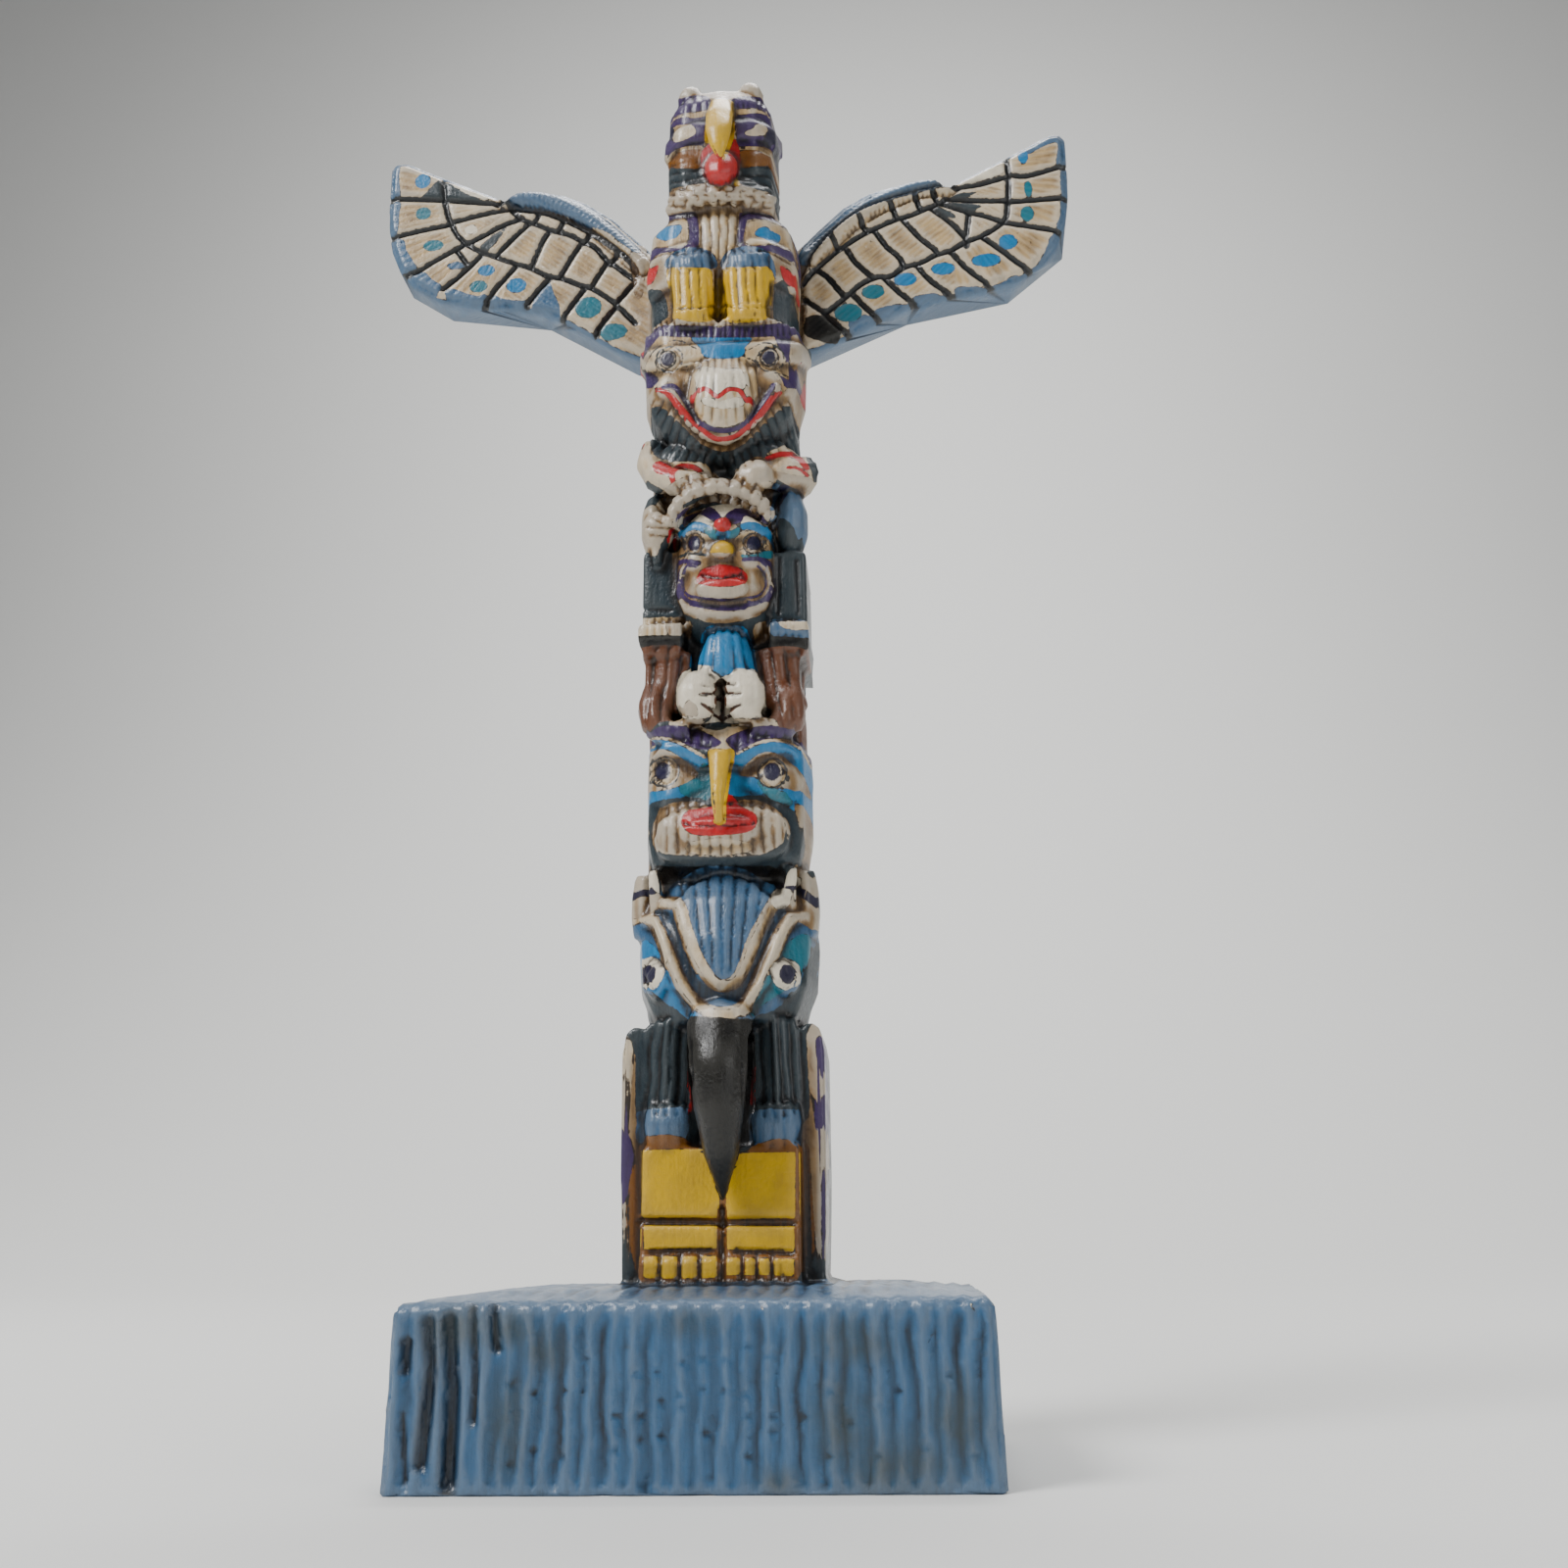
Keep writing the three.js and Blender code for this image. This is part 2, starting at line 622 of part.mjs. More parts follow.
function topBirdHead() {
  const CENTRE = 0.45;
  const head = new Form({
    stations: [
      [208.4, 9.8, -3], [211, 10.5, -5.4], [222, 10.7, -5.8], [234.4, 10.5, -5.6], [238, 8.8, -3.6],
    ],
    centre: CENTRE - 0.75,
    power: 3,
  });
  const brow = [
    [-11.4, 228.6], [-11, 232.8], [-8.6, 235.4], [-5, 236.4], [-2.6, 236], [-2.8, 232.8],
    [-7.6, 232.3],
  ];
  const eye = [[-9, 228], [-7.6, 229], [-5.6, 228.4], [-5.2, 225.8], [-7.4, 224]];
  const cheek = [[-10.2, 218.4], [-8.4, 221.2], [-4.2, 222.4], [-3.8, 221.4], [-7.6, 220], [-9.4, 218]];
  const ruffPath = [[-9.4, -1, 212.6], [-6, -4.4, 213.2], [0.2, -5.8, 213], [6, -4.4, 213.2], [9.4, -1, 212.6]];
  const beak = limb(
    [[CENTRE, -3.4, 234.2], [CENTRE, -7, 232], [0.5, -10.2, 228.4], [0.6, -11.8, 224.2], [0.9, -11.6, 219.6]],
    [[1.8, 1.5], [2.5, 2.4], [3.1, 3], [2.3, 2.4], [0.4, 0.5]],
    { sides: 6, steps: 5 },
  );
  const pairs = SIDES.map((side) => {
    const shift = ([x, z]) => [x * side * -1 + CENTRE, z];
    return [
      head.relief(brow.map(shift), 0.9),
      head.relief(eye.map(shift), 0.5),
      head.relief(cheek.map(shift), 0.9),
      ball([side * 5.6 - 0.2, -1.2, 238], [2.8, 2.6, 2.8], 8, 4),
    ];
  });
  return [
    head.solid(),
    limb(ruffPath, [[2.4, 1.8], [2.6, 2.2], [2.4, 1.8]], { steps: 6 }),
    beak,
    ball([CENTRE, -6.6, 218.2], [3.3, 3.8, 3.9]),
    pairs,
  ];
}

// Wings: a plate with a ribbed leading edge and rows of raised feathers between grooves.
// The left wing is drawn, and the right one is a little shorter and hangs a little lower.

const WING_OUTLINE = [
  [-68.2, 237], [-67, 238.4], [-64.8, 238.3], [-57.2, 234.3], [-45.4, 228.4], [-43.8, 227.8],
  [-42, 229], [-39.3, 229.7], [-33.4, 228.7], [-28.2, 226.2], [-22.7, 222], [-17.4, 216.2],
  [-12.2, 210.8], [-8, 207], [-8, 192], [-12.4, 188.6], [-17.2, 189.9], [-22.2, 192.4], [-26.8, 195.7],
  [-31.2, 198.7], [-35.9, 201.2], [-41.8, 202.5], [-48.9, 203.4], [-56.4, 205.2], [-61.8, 208.8],
  [-64.8, 212.6], [-66.9, 217.8], [-67.9, 224],
];

// Curves along the wing, from its tip to its root, between which the feathers lie
const BAND_RAIL = [[-43.6, 226], [-40.4, 226], [-36.3, 225.4], [-31.5, 223.2], [-27.1, 220.1], [-22.6, 215.7], [-16.4, 208.9]];
const COVERT_RAIL = [[-43.2, 225], [-40.8, 222.4], [-35.3, 219.1], [-29.3, 215.7], [-23.7, 210.7], [-15.4, 203.4]];
const MIDDLE_RAIL = [[-52.4, 216.8], [-49, 214.8], [-44.6, 213.3], [-38.6, 211.3], [-31.9, 208.6], [-25.1, 204.3], [-14.5, 196.6]];
const OUTER_RAIL = [[-63.6, 211.6], [-61.2, 209.2], [-56.2, 206], [-48.9, 204.2], [-41.8, 203.2], [-35.9, 201.9], [-31.2, 199.3], [-26.8, 196.3], [-14, 190.4]];

function rail(points) {
  const curve = new THREE.SplineCurve(points.map(([x, z]) => new THREE.Vector2(x, z)));
  return (share) => {
    const point = curve.getPointAt(THREE.MathUtils.clamp(share, 0, 1));
    return [point.x, point.y];
  };
}

// Corners of a field drawn in from its edges by half a groove
function inset(corners, margin) {
  const middle = [0, 1].map((axis) => corners.reduce((sum, corner) => sum + corner[axis], 0) / corners.length);
  return corners.map((corner) => {
    const reach = Math.hypot(corner[0] - middle[0], corner[1] - middle[1]);
    const share = Math.max(0.2, 1 - margin * 1.5 / reach);
    return corner.map((value, axis) => middle[axis] + share * (value - middle[axis]));
  });
}

// Feathers between two rails, parted at the given shares along each of them
function featherRow(upper, upperShares, lower, lowerShares) {
  const [above, below] = [rail(upper), rail(lower)];
  const fields = [];
  for (let i = 0; i + 1 < upperShares.length; i++) {
    fields.push([
      above(upperShares[i]), above(upperShares[i + 1]), below(lowerShares[i + 1]), below(lowerShares[i]),
    ]);
  }
  return fields;
}

const TIP_FEATHERS = [
  [[-67.1, 236.6], [-64.6, 236.9], [-57.2, 233], [-56.9, 228.4], [-67.2, 229.4]],
  [[-67.2, 228.6], [-56.9, 227.4], [-56.4, 222], [-66.6, 220.4], [-67.4, 224]],
  [[-66.4, 219.6], [-56, 221.6], [-53.6, 217.6], [-63.8, 211.9], [-65.4, 215]],
];

const INNER_TIP_FEATHERS = [
  [[-56.2, 232.6], [-45.4, 227.2], [-56.2, 228.2]],
  [[-56, 227.2], [-45, 226.6], [-44.4, 225.8], [-54.8, 224.6]],
  [[-54.6, 223.8], [-44, 225.2], [-43.6, 224], [-50.6, 218.6], [-53, 218.8]],
  [[-50, 218], [-42.6, 223.4], [-41.6, 222], [-48.4, 215.6]],
];

function wing(side) {
  const share = side < 0 ? 1 : RIGHT_WING_SHARE;
  const drop = side < 0 ? 0 : RIGHT_WING_DROP;
  const place = ([x, z]) => [
    POLE_OFFSET - side * x * share * WING_REACH / DRAWN.reach,
    heightOf(z - drop * THREE.MathUtils.clamp((Math.abs(x) - DROP_FROM) / (DROP_TO - DROP_FROM), 0, 1)),
  ];
  const field = (points, front, back) => slab(points.map(place), front, back, asBuilt);
  const ground = wingFront + FEATHER_RELIEF;
  const plate = field(WING_OUTLINE, ground, wingBack);
  const even = (count) => Array.from({ length: count + 1 }, (_, i) => i / count);
  const fields = [
    ...featherRow(BAND_RAIL, even(5), COVERT_RAIL, even(5)),
    ...featherRow(COVERT_RAIL, [0.09, 0.3, 0.52, 0.75, 1], MIDDLE_RAIL, [0.22, 0.42, 0.62, 0.82, 1]),
    ...featherRow(MIDDLE_RAIL, [0, 0.2, 0.36, 0.56, 0.76, 1], OUTER_RAIL, [0, 0.24, 0.42, 0.6, 0.78, 1]),
    ...TIP_FEATHERS,
    ...INNER_TIP_FEATHERS,
  ];
  const feathers = fields.map((corners) => field(inset(corners, FEATHER_GROOVE / 2), wingFront, ground + 1));
  const edge = BAND_RAIL.map(([x, z]) => {
    const [px, pz] = place([x - 0.4, z + 1.3]);
    return [px, wingFront + 1.5, pz];
  });
  const band = limb(edge, [[1, 1.3], [1.8, 2.2], [1.9, 2.2], [1.7, 2]], { sides: 6, steps: 8, place: asBuilt });
  return [plate, feathers, band];
}

// The whole casting is one solid. Hollows left sealed between its forms are filled,
// by keeping only the outer skin.

function casting() {
  const forms = join([
    base(),
    spine.solid(),
    raven(),
    longNosedFace(),
    raisedFists(),
    smallFace(),
    pillars(),
    grinningFace(),
    reachingBody(),
    topBirdBody(),
    topBirdHead(),
    SIDES.map(wing),
  ]);
  const skins = forms.decompose();
  return skins.reduce((largest, skin) => (skin.volume() > largest.volume() ? skin : largest));
}

function geometryOf(body) {
  const mesh = body.getMesh();
  const geometry = new THREE.BufferGeometry();
  geometry.setAttribute('position', new THREE.BufferAttribute(mesh.vertProperties, 3));
  geometry.setIndex(new THREE.BufferAttribute(mesh.triVerts, 1));
  geometry.computeVertexNormals();
  return geometry;
}

const paintedResin = new THREE.MeshStandardMaterial({ color: 0x56707f, roughness: 0.42, metalness: 0 });

const totemPole = new THREE.Mesh(geometryOf(casting()), paintedResin);
totemPole.name = 'totem_pole';

const model = new THREE.Group();
model.add(totemPole);

export default model;
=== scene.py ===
# %% [markdown]
# # A small painted totem pole
#
# The real thing is one casting in resin: a block base, a pole of stacked figures and two wings.
# It comes out of a rubber mould in one piece, and all its colours are brushed on by hand.
# So this scene has one piece as well. It takes the measured solid, rounds it as a mould does,
# carves the fine grooves into its mesh, and then paints it, colour by colour.

# %% Load the measured model
import math

import bmesh
import bpy
import numpy as np
from mathutils import Matrix, Vector


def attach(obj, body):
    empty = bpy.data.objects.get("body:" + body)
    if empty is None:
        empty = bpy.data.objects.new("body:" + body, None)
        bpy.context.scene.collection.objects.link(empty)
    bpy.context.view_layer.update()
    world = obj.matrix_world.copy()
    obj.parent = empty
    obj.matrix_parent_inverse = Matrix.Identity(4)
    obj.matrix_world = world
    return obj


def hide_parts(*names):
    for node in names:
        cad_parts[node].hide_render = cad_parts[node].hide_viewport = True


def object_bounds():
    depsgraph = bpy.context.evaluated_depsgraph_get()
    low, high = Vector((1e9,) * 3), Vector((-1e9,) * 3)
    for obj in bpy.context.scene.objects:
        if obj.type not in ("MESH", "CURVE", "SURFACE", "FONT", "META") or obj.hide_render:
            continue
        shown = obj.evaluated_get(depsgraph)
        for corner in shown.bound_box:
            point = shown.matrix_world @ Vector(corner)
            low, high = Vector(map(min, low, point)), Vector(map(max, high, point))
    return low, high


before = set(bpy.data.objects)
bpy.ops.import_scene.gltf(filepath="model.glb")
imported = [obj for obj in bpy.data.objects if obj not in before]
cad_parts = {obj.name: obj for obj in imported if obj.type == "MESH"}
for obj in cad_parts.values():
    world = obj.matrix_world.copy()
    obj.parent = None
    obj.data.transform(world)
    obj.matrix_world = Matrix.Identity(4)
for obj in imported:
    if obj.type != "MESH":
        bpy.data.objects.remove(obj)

MM = 0.001
cad_low, cad_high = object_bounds()
print("measured model, mm:", [round(v / MM, 1) for v in cad_high - cad_low])

# %% [markdown]
# ## The camera
#
# The photograph was taken with a phone held close to the base and tipped up the pole, so the base
# looms and the top shrinks. A long lens from further away could never give those proportions:
# only the distance sets perspective, and the lens then sets how much of it fills the frame.
# The camera is turned by three plain angles, and its matrix is put together from the three
# directions that it looks along, to its right and upwards.

# %% The camera
def linked(name, data):
    """A new object in the scene, at the origin."""
    made = bpy.data.objects.new(name, data)
    bpy.context.scene.collection.objects.link(made)
    return made


SIGHT = Vector((27.1, -228.65, 30.6)) * MM
TIP_UP = math.radians(17.2)
TURN_LEFT = math.radians(3.92)
ROLL = math.radians(-0.87)
LENS, FILM = 33.75, 36

ahead = Vector((
    -math.sin(TURN_LEFT) * math.cos(TIP_UP), math.cos(TURN_LEFT) * math.cos(TIP_UP), math.sin(TIP_UP)
))
level_right = Vector((math.cos(TURN_LEFT), math.sin(TURN_LEFT), 0))
level_up = level_right.cross(ahead)
right = math.cos(ROLL) * level_right + math.sin(ROLL) * level_up
up = -math.sin(ROLL) * level_right + math.cos(ROLL) * level_up

camera = linked("camera", bpy.data.cameras.new("camera"))
camera.data.lens = LENS
camera.data.sensor_width = FILM
camera.data.clip_start = 0.01
turned = Matrix((right, up, -ahead)).transposed().to_4x4()
camera.matrix_world = Matrix.Translation(SIGHT) @ turned
bpy.context.scene.camera = camera
print("camera at, mm:", [round(v / MM) for v in SIGHT])

# %% [markdown]
# ## Floor and light
#
# A pale sheet that curves up far behind the piece gives a floor and a wall with no corner between
# them. The curve is a spin: a line of vertices is swept a quarter turn round an axis. The light
# comes from a few large, soft panels, because small hard lamps would put sharp sparks on
# every groove of a glossy piece.


# %% A pale sweep for floor and wall
def pale_material():
    material = bpy.data.materials.new("pale_paper")
    material.use_nodes = True
    shader = material.node_tree.nodes["Principled BSDF"]
    shader.inputs["Base Color"].default_value = (0.78, 0.78, 0.76, 1)
    shader.inputs["Roughness"].default_value = 0.85
    return material


SWEEP_HALF = 3.0
WALL_AWAY = 3.2
WALL_BEND = 2.4
WALL_HEIGHT = 3.0
BEND_STEPS = 16

sheet_shape = bmesh.new()
near_ends = [sheet_shape.verts.new((side * SWEEP_HALF, -SWEEP_HALF, 0)) for side in (-1, 1)]
near_edge = sheet_shape.edges.new(near_ends)
floor_part = bmesh.ops.extrude_edge_only(sheet_shape, edges=[near_edge])["geom"]
far_verts = [g for g in floor_part if isinstance(g, bmesh.types.BMVert)]
bmesh.ops.translate(sheet_shape, verts=far_verts, vec=(0, SWEEP_HALF + WALL_AWAY - WALL_BEND, 0))
far_edge = [g for g in floor_part if isinstance(g, bmesh.types.BMEdge)]
bent = bmesh.ops.spin(
    sheet_shape, geom=far_verts + far_edge, cent=(0, WALL_AWAY - WALL_BEND, WALL_BEND),
    axis=(1, 0, 0), angle=math.pi / 2, steps=BEND_STEPS,
)["geom_last"]
bent_edges = [g for g in bent if isinstance(g, bmesh.types.BMEdge)]
wall_part = bmesh.ops.extrude_edge_only(sheet_shape, edges=bent_edges)["geom"]
wall_verts = [g for g in wall_part if isinstance(g, bmesh.types.BMVert)]
bmesh.ops.translate(sheet_shape, verts=wall_verts, vec=(0, 0, WALL_HEIGHT))
sheet_mesh = bpy.data.meshes.new("floor")
sheet_shape.to_mesh(sheet_mesh)
sheet_shape.free()
sheet_mesh.materials.append(pale_material())
sheet_mesh.polygons.foreach_set("use_smooth", [True] * len(sheet_mesh.polygons))
floor = linked("floor", sheet_mesh)
print("sweep faces:", len(sheet_mesh.polygons))


# %% Soft panels of light
def light_panel(name, place, aim, size, watts):
    """A round panel of light that faces a point. Places and sizes are in metres."""
    lamp = bpy.data.lights.new(name, "AREA")
    lamp.shape = "DISK"
    lamp.size = size
    lamp.energy = watts
    panel = linked(name, lamp)
    direction = Vector(aim) - Vector(place)
    turned = direction.to_track_quat("-Z", "Y").to_matrix().to_4x4()
    panel.matrix_world = Matrix.Translation(place) @ turned


middle_of_pole = (0, 0, 0.12)
light_panel("key_light", (-0.9, -0.7, 1.2), middle_of_pole, 0.7, 24)
light_panel("fill_light", (1.2, -0.9, 0.6), middle_of_pole, 0.9, 5)
light_panel("top_light", (0.1, 0.1, 1.4), middle_of_pole, 0.8, 9)
light_panel("wall_light", (0, 0.9, 2.4), (0, 3.4, 0.7), 1.6, 70)

world = bpy.data.worlds.new("soft_room")
bpy.context.scene.world = world
world.use_nodes = True
room = world.node_tree.nodes["Background"]
room.inputs["Color"].default_value = (0.97, 0.98, 1.0, 1)
room.inputs["Strength"].default_value = 0.17
print("lights:", len(bpy.data.lights))

# %% [markdown]
# ## The casting's mesh
#
# The measured solid has flat facets and loose triangles. A mould has neither: everything flows.
# Subdividing would keep the uneven triangles, so the mesh is merged and then remeshed in small
# even cells, which welds the forms into each other as casting does. A light smoothing takes
# the facets away, and leaves enough points to carve grooves of half a millimetre.


# %% Copy the measured solid and add the little forms that are cast with it
POLE_OFFSET = 1.6
POLE_FRONT = -6.0
CELL = 0.42 * MM
PEG_WIDTH = 1.25
PEG_TAPER = 0.8


def little_bar(shape, start, end, width):
    """A short round bar between two points, in millimetres from the pole's middle line."""
    start, end = [Vector((x + POLE_OFFSET, y, z)) * MM for x, y, z in (start, end)]
    made = bmesh.ops.create_cone(
        shape, cap_ends=True, segments=12, radius1=width * MM, radius2=width * MM * PEG_TAPER,
        depth=(end - start).length,
    )["verts"]
    turn = (end - start).to_track_quat("Z", "Y").to_matrix().to_4x4()
    bmesh.ops.transform(shape, matrix=Matrix.Translation((start + end) / 2) @ turn, verts=made)


shape = bmesh.new()
shape.from_mesh(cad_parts["totem_pole"].data)
bmesh.ops.remove_doubles(shape, verts=shape.verts, dist=1e-6)
for side in (-1, 1):
    little_bar(shape, (side * 10.4, -2.2, 80.4), (side * 11, -2.8, 87), PEG_WIDTH)
rough = bpy.data.meshes.new("rough_casting")
shape.to_mesh(rough)
shape.free()
print("measured solid, merged:", len(rough.vertices), "points")


# %% Remesh in even cells and smooth
def with_modifiers(mesh, *settings):
    """The mesh after a row of modifiers, each given as its kind and its values."""
    carrier = linked("carrier", mesh)
    for kind, values in settings:
        modifier = carrier.modifiers.new(kind.lower(), kind)
        for name, value in values.items():
            setattr(modifier, name, value)
    shaped = carrier.evaluated_get(bpy.context.evaluated_depsgraph_get())
    result = bpy.data.meshes.new_from_object(shaped)
    bpy.data.objects.remove(carrier)
    return result


casting = with_modifiers(
    rough,
    ("REMESH", {"mode": "VOXEL", "voxel_size": CELL, "adaptivity": 0.0}),
    ("SMOOTH", {"factor": 0.5, "iterations": 10}),
)
print("remeshed:", len(casting.vertices), "points")

# %% [markdown]
# ## A drawing to carve and paint by
#
# All carving and painting below is laid out on a drawing of the pole's front. An outline is read
# off an enlarged part of the photograph, and the camera above puts it on the upright plane at the
# pole's front, in millimetres. Every point of the mesh gets its place on that plane in the same
# way. The result belongs to the mesh: from any other side the paint stays where it was brushed.

# %% From enlarged views to the drawing
# Each view's left and top edge in the photograph, and how many times it was enlarged
VIEWS = {
    "bird": (640, 80, 6.03),
    "grin": (640, 300, 6.03),
    "small_face": (640, 440, 6.03),
    "long_nose": (640, 640, 6.03),
    "raven": (620, 860, 6.03),
    "feet": (620, 1020, 4.9),
    "left_wing": (380, 130, 4.9),
    "right_wing": (790, 120, 4.9),
    "base": (370, 1270, 2.306),
    "left_feathers": (380, 120, 5.227),
    "right_feathers": (780, 120, 4.9),
}
PHOTO_WIDTH = 1600
FOCUS = LENS / FILM * PHOTO_WIDTH
WING_FRONT = 10.0
# What lies further back than this takes its place on the drawing as if it lay at this depth
SIDE_DEPTH = -2.0
sight_x, sight_y, sight_z = SIGHT / MM


def seen(view, places, plane=POLE_FRONT):
    """Places on the drawing, in millimetres, of places read off one of the enlarged views."""
    left, top, enlarged = VIEWS[view]
    found = []
    for x, y in places:
        aside = (left + x / enlarged - PHOTO_WIDTH / 2) / FOCUS
        above = (PHOTO_WIDTH / 2 - top - y / enlarged) / FOCUS
        ray = ahead + aside * right + above * up
        far = (plane - sight_y) / ray.y
        found.append((sight_x + far * ray.x - POLE_OFFSET, sight_z + far * ray.z))
    return found


def rounded(places, closed=True, steps=4):
    """A smooth curve through a few places."""
    places = np.array(places, float)
    count = len(places)
    spans = count if closed else count - 1
    curve = []
    for i in range(spans):
        pick = [(i + k) % count if closed else min(max(i + k, 0), count - 1) for k in (-1, 0, 1, 2)]
        a, b, c, d = places[pick]
        for t in np.arange(steps) / steps:
            bend = (2 * a - 5 * b + 4 * c - d) * t**2 + (3 * b - a - 3 * c + d) * t**3
            curve.append(0.5 * (2 * b + (c - a) * t + bend))
    if not closed:
        curve.append(places[-1])
    return np.array(curve)


print("middle of the small face's nose, mm:", [round(v, 1) for v in seen("small_face", [(590, 720)])[0]])


# %% Places of a mesh on the drawing, and distances on it
def normals_of(mesh):
    """One outward direction for each point of the mesh."""
    flat = np.zeros(len(mesh.vertices) * 3)
    mesh.vertex_normals.foreach_get("vector", flat)
    return flat.reshape(-1, 3)


def moved(mesh, points):
    """Put the points of a mesh at new places, given in millimetres."""
    mesh.vertices.foreach_set("co", (points * MM).ravel())
    mesh.update()


def off_segment(spot, a, b):
    """How far along a straight line each spot lies, from 0 to 1, and how far off it."""
    side = b - a
    t = np.clip((spot - a) @ side / max(side @ side, 1e-12), 0, 1)
    return t, np.hypot(*(spot - a - t[:, None] * side).T)


def spread(mesh, values, rounds):
    """Values evened out over the mesh, by averaging each point with its neighbours."""
    ends = np.zeros(len(mesh.edges) * 2, np.int64)
    mesh.edges.foreach_get("vertices", ends)
    a, b = ends.reshape(-1, 2).T
    count = len(mesh.vertices)
    ties = np.maximum(np.bincount(a, minlength=count) + np.bincount(b, minlength=count), 1)
    for _ in range(rounds):
        total = np.stack([
            np.bincount(
                a, values[b, k], count
            ) + np.bincount(b, values[a, k], count) for k in range(values.shape[1])
        ], 1)
        values = 0.4 * values + 0.6 * total / ties[:, None]
    return values


# Distances are only kept as far as this, in millimetres
MARGIN = 2.5
WING_REACH = 1.2


class Drawing:
    """Where each point of a mesh lies on the drawing, in millimetres."""

    def __init__(self, mesh):
        flat = np.zeros(len(mesh.vertices) * 3)
        mesh.vertices.foreach_get("co", flat)
        self.points = flat.reshape(-1, 3) / MM
        self.x, self.y, self.z = self.points.T
        reach = (POLE_FRONT - sight_y) / (np.minimum(self.y, SIDE_DEPTH) - sight_y)
        self.across = sight_x + (self.x - sight_x) * reach - POLE_OFFSET
        self.up = sight_z + (self.z - sight_z) * reach
        wings = self.y > WING_FRONT - WING_REACH
        self.across[wings] = self.x[wings] - POLE_OFFSET
        self.up[wings] = self.z[wings]

    def near(self, outline, margin):
        """The points in the box round an outline."""
        low, high = outline.min(0) - margin, outline.max(0) + margin
        return np.nonzero(
            (self.across > low[0]) & (self.across < high[0]) & (self.up > low[1]) & (self.up < high[1])
        )[0]

    def within(self, places, margin=MARGIN, smooth=True):
        """How far each point lies inside an outline; outside it the distance is below zero."""
        outline = rounded(places) if smooth else np.array(places, float)
        cover = np.full(len(self.x), -margin)
        near = self.near(outline, margin)
        spot = np.stack([self.across[near], self.up[near]], 1)
        nearest = np.full(len(near), 1e9)
        inside = np.zeros(len(near), bool)
        for a, b in zip(outline, np.roll(outline, -1, 0)):
            side = b - a
            nearest = np.minimum(nearest, off_segment(spot, a, b)[1])
            if abs(side[1]) > 1e-9:
                level = a[0] + (spot[:, 1] - a[1]) / side[1] * side[0]
                inside ^= ((a[1] > spot[:, 1]) != (b[1] > spot[:, 1])) & (spot[:, 0] < level)
        cover[near] = np.maximum(np.where(inside, nearest, -nearest), -margin)
        return cover

    def line(self, places, width, margin=MARGIN):
        """The same for a brush line of an even width along a path."""
        path = rounded(places, closed=False)
        cover = np.full(len(self.x), -margin)
        near = self.near(path, margin + width)
        spot = np.stack([self.across[near], self.up[near]], 1)
        nearest = np.full(len(near), 1e9)
        for a, b in zip(path[:-1], path[1:]):
            nearest = np.minimum(nearest, off_segment(spot, a, b)[1])
        cover[near] = np.maximum(width / 2 - nearest, -margin)
        return cover

    def spot(self, place, half_width, half_height, margin=MARGIN):
        """The same for an oval dab."""
        away = np.hypot((self.across - place[0]) / half_width, (self.up - place[1]) / half_height)
        return np.clip((1 - away) * min(half_width, half_height), -margin, margin)

    def box(self, left, right_side, low, high, margin=MARGIN):
        """The same for an upright rectangle."""
        cover = np.minimum(
            np.minimum(self.across - left, right_side - self.across),
            np.minimum(self.up - low, high - self.up)
        )
        return np.clip(cover, -margin, margin)


# %% [markdown]
# ## Carving the fine grooves
#
# The real ribs, feathers, fingers and grain were cut into the model that the mould was taken from,
# so they are dents in the surface and catch the light. Here each point of the fine mesh is pushed
# in along its normal, by a soft-sided groove whose place comes from the drawing. Rows of ribs
# are one groove repeated: straight ribs repeat across, fans repeat by the angle round a point.


# %% Tools for carving
def groove(away, half_width, depth):
    """How far to push in at a distance from a groove's middle line, in millimetres."""
    return -depth * np.exp(-((away / half_width) ** 2))


def row(run, pitch, half_width, depth):
    """Grooves repeated every pitch along a run."""
    return groove((np.mod(run / pitch + 0.5, 1) - 0.5) * pitch, half_width, depth)


def fan(drawing, place, degrees, half_width, depth):
    """Grooves that spread from a point, one every so many degrees."""
    aside, above = drawing.across - place[0], drawing.up - place[1]
    far = np.hypot(aside, above)
    turn = np.degrees(np.arctan2(aside, above))
    return groove((np.mod(turn / degrees + 0.5, 1) - 0.5) * np.radians(degrees) * far, half_width, depth)


def inside(cover, blend=0.5):
    """From 0 outside an outline to 1 inside it, over a short blend in millimetres."""
    return np.clip(cover / blend + 0.5, 0, 1)


RIPPLE_SIZES = (0.11, 0.23, 0.41, 0.77)


def ripple(x, z, seed):
    """Smooth unevenness between -1 and 1, the same on every run."""
    draw = np.random.default_rng(seed)
    total = np.zeros(len(x))
    for size in RIPPLE_SIZES:
        a, b, c = draw.uniform(-1, 1, 3) * (1, 1, math.pi)
        total += np.sin(2 * math.pi * size * (x * a + z * b) * 0.5 + c) / len(RIPPLE_SIZES)
    return total


# %% Shapes that are carved and painted alike
# The figures are carved and painted from the front as far back as this, in millimetres
FIGURES_TO = 8.0
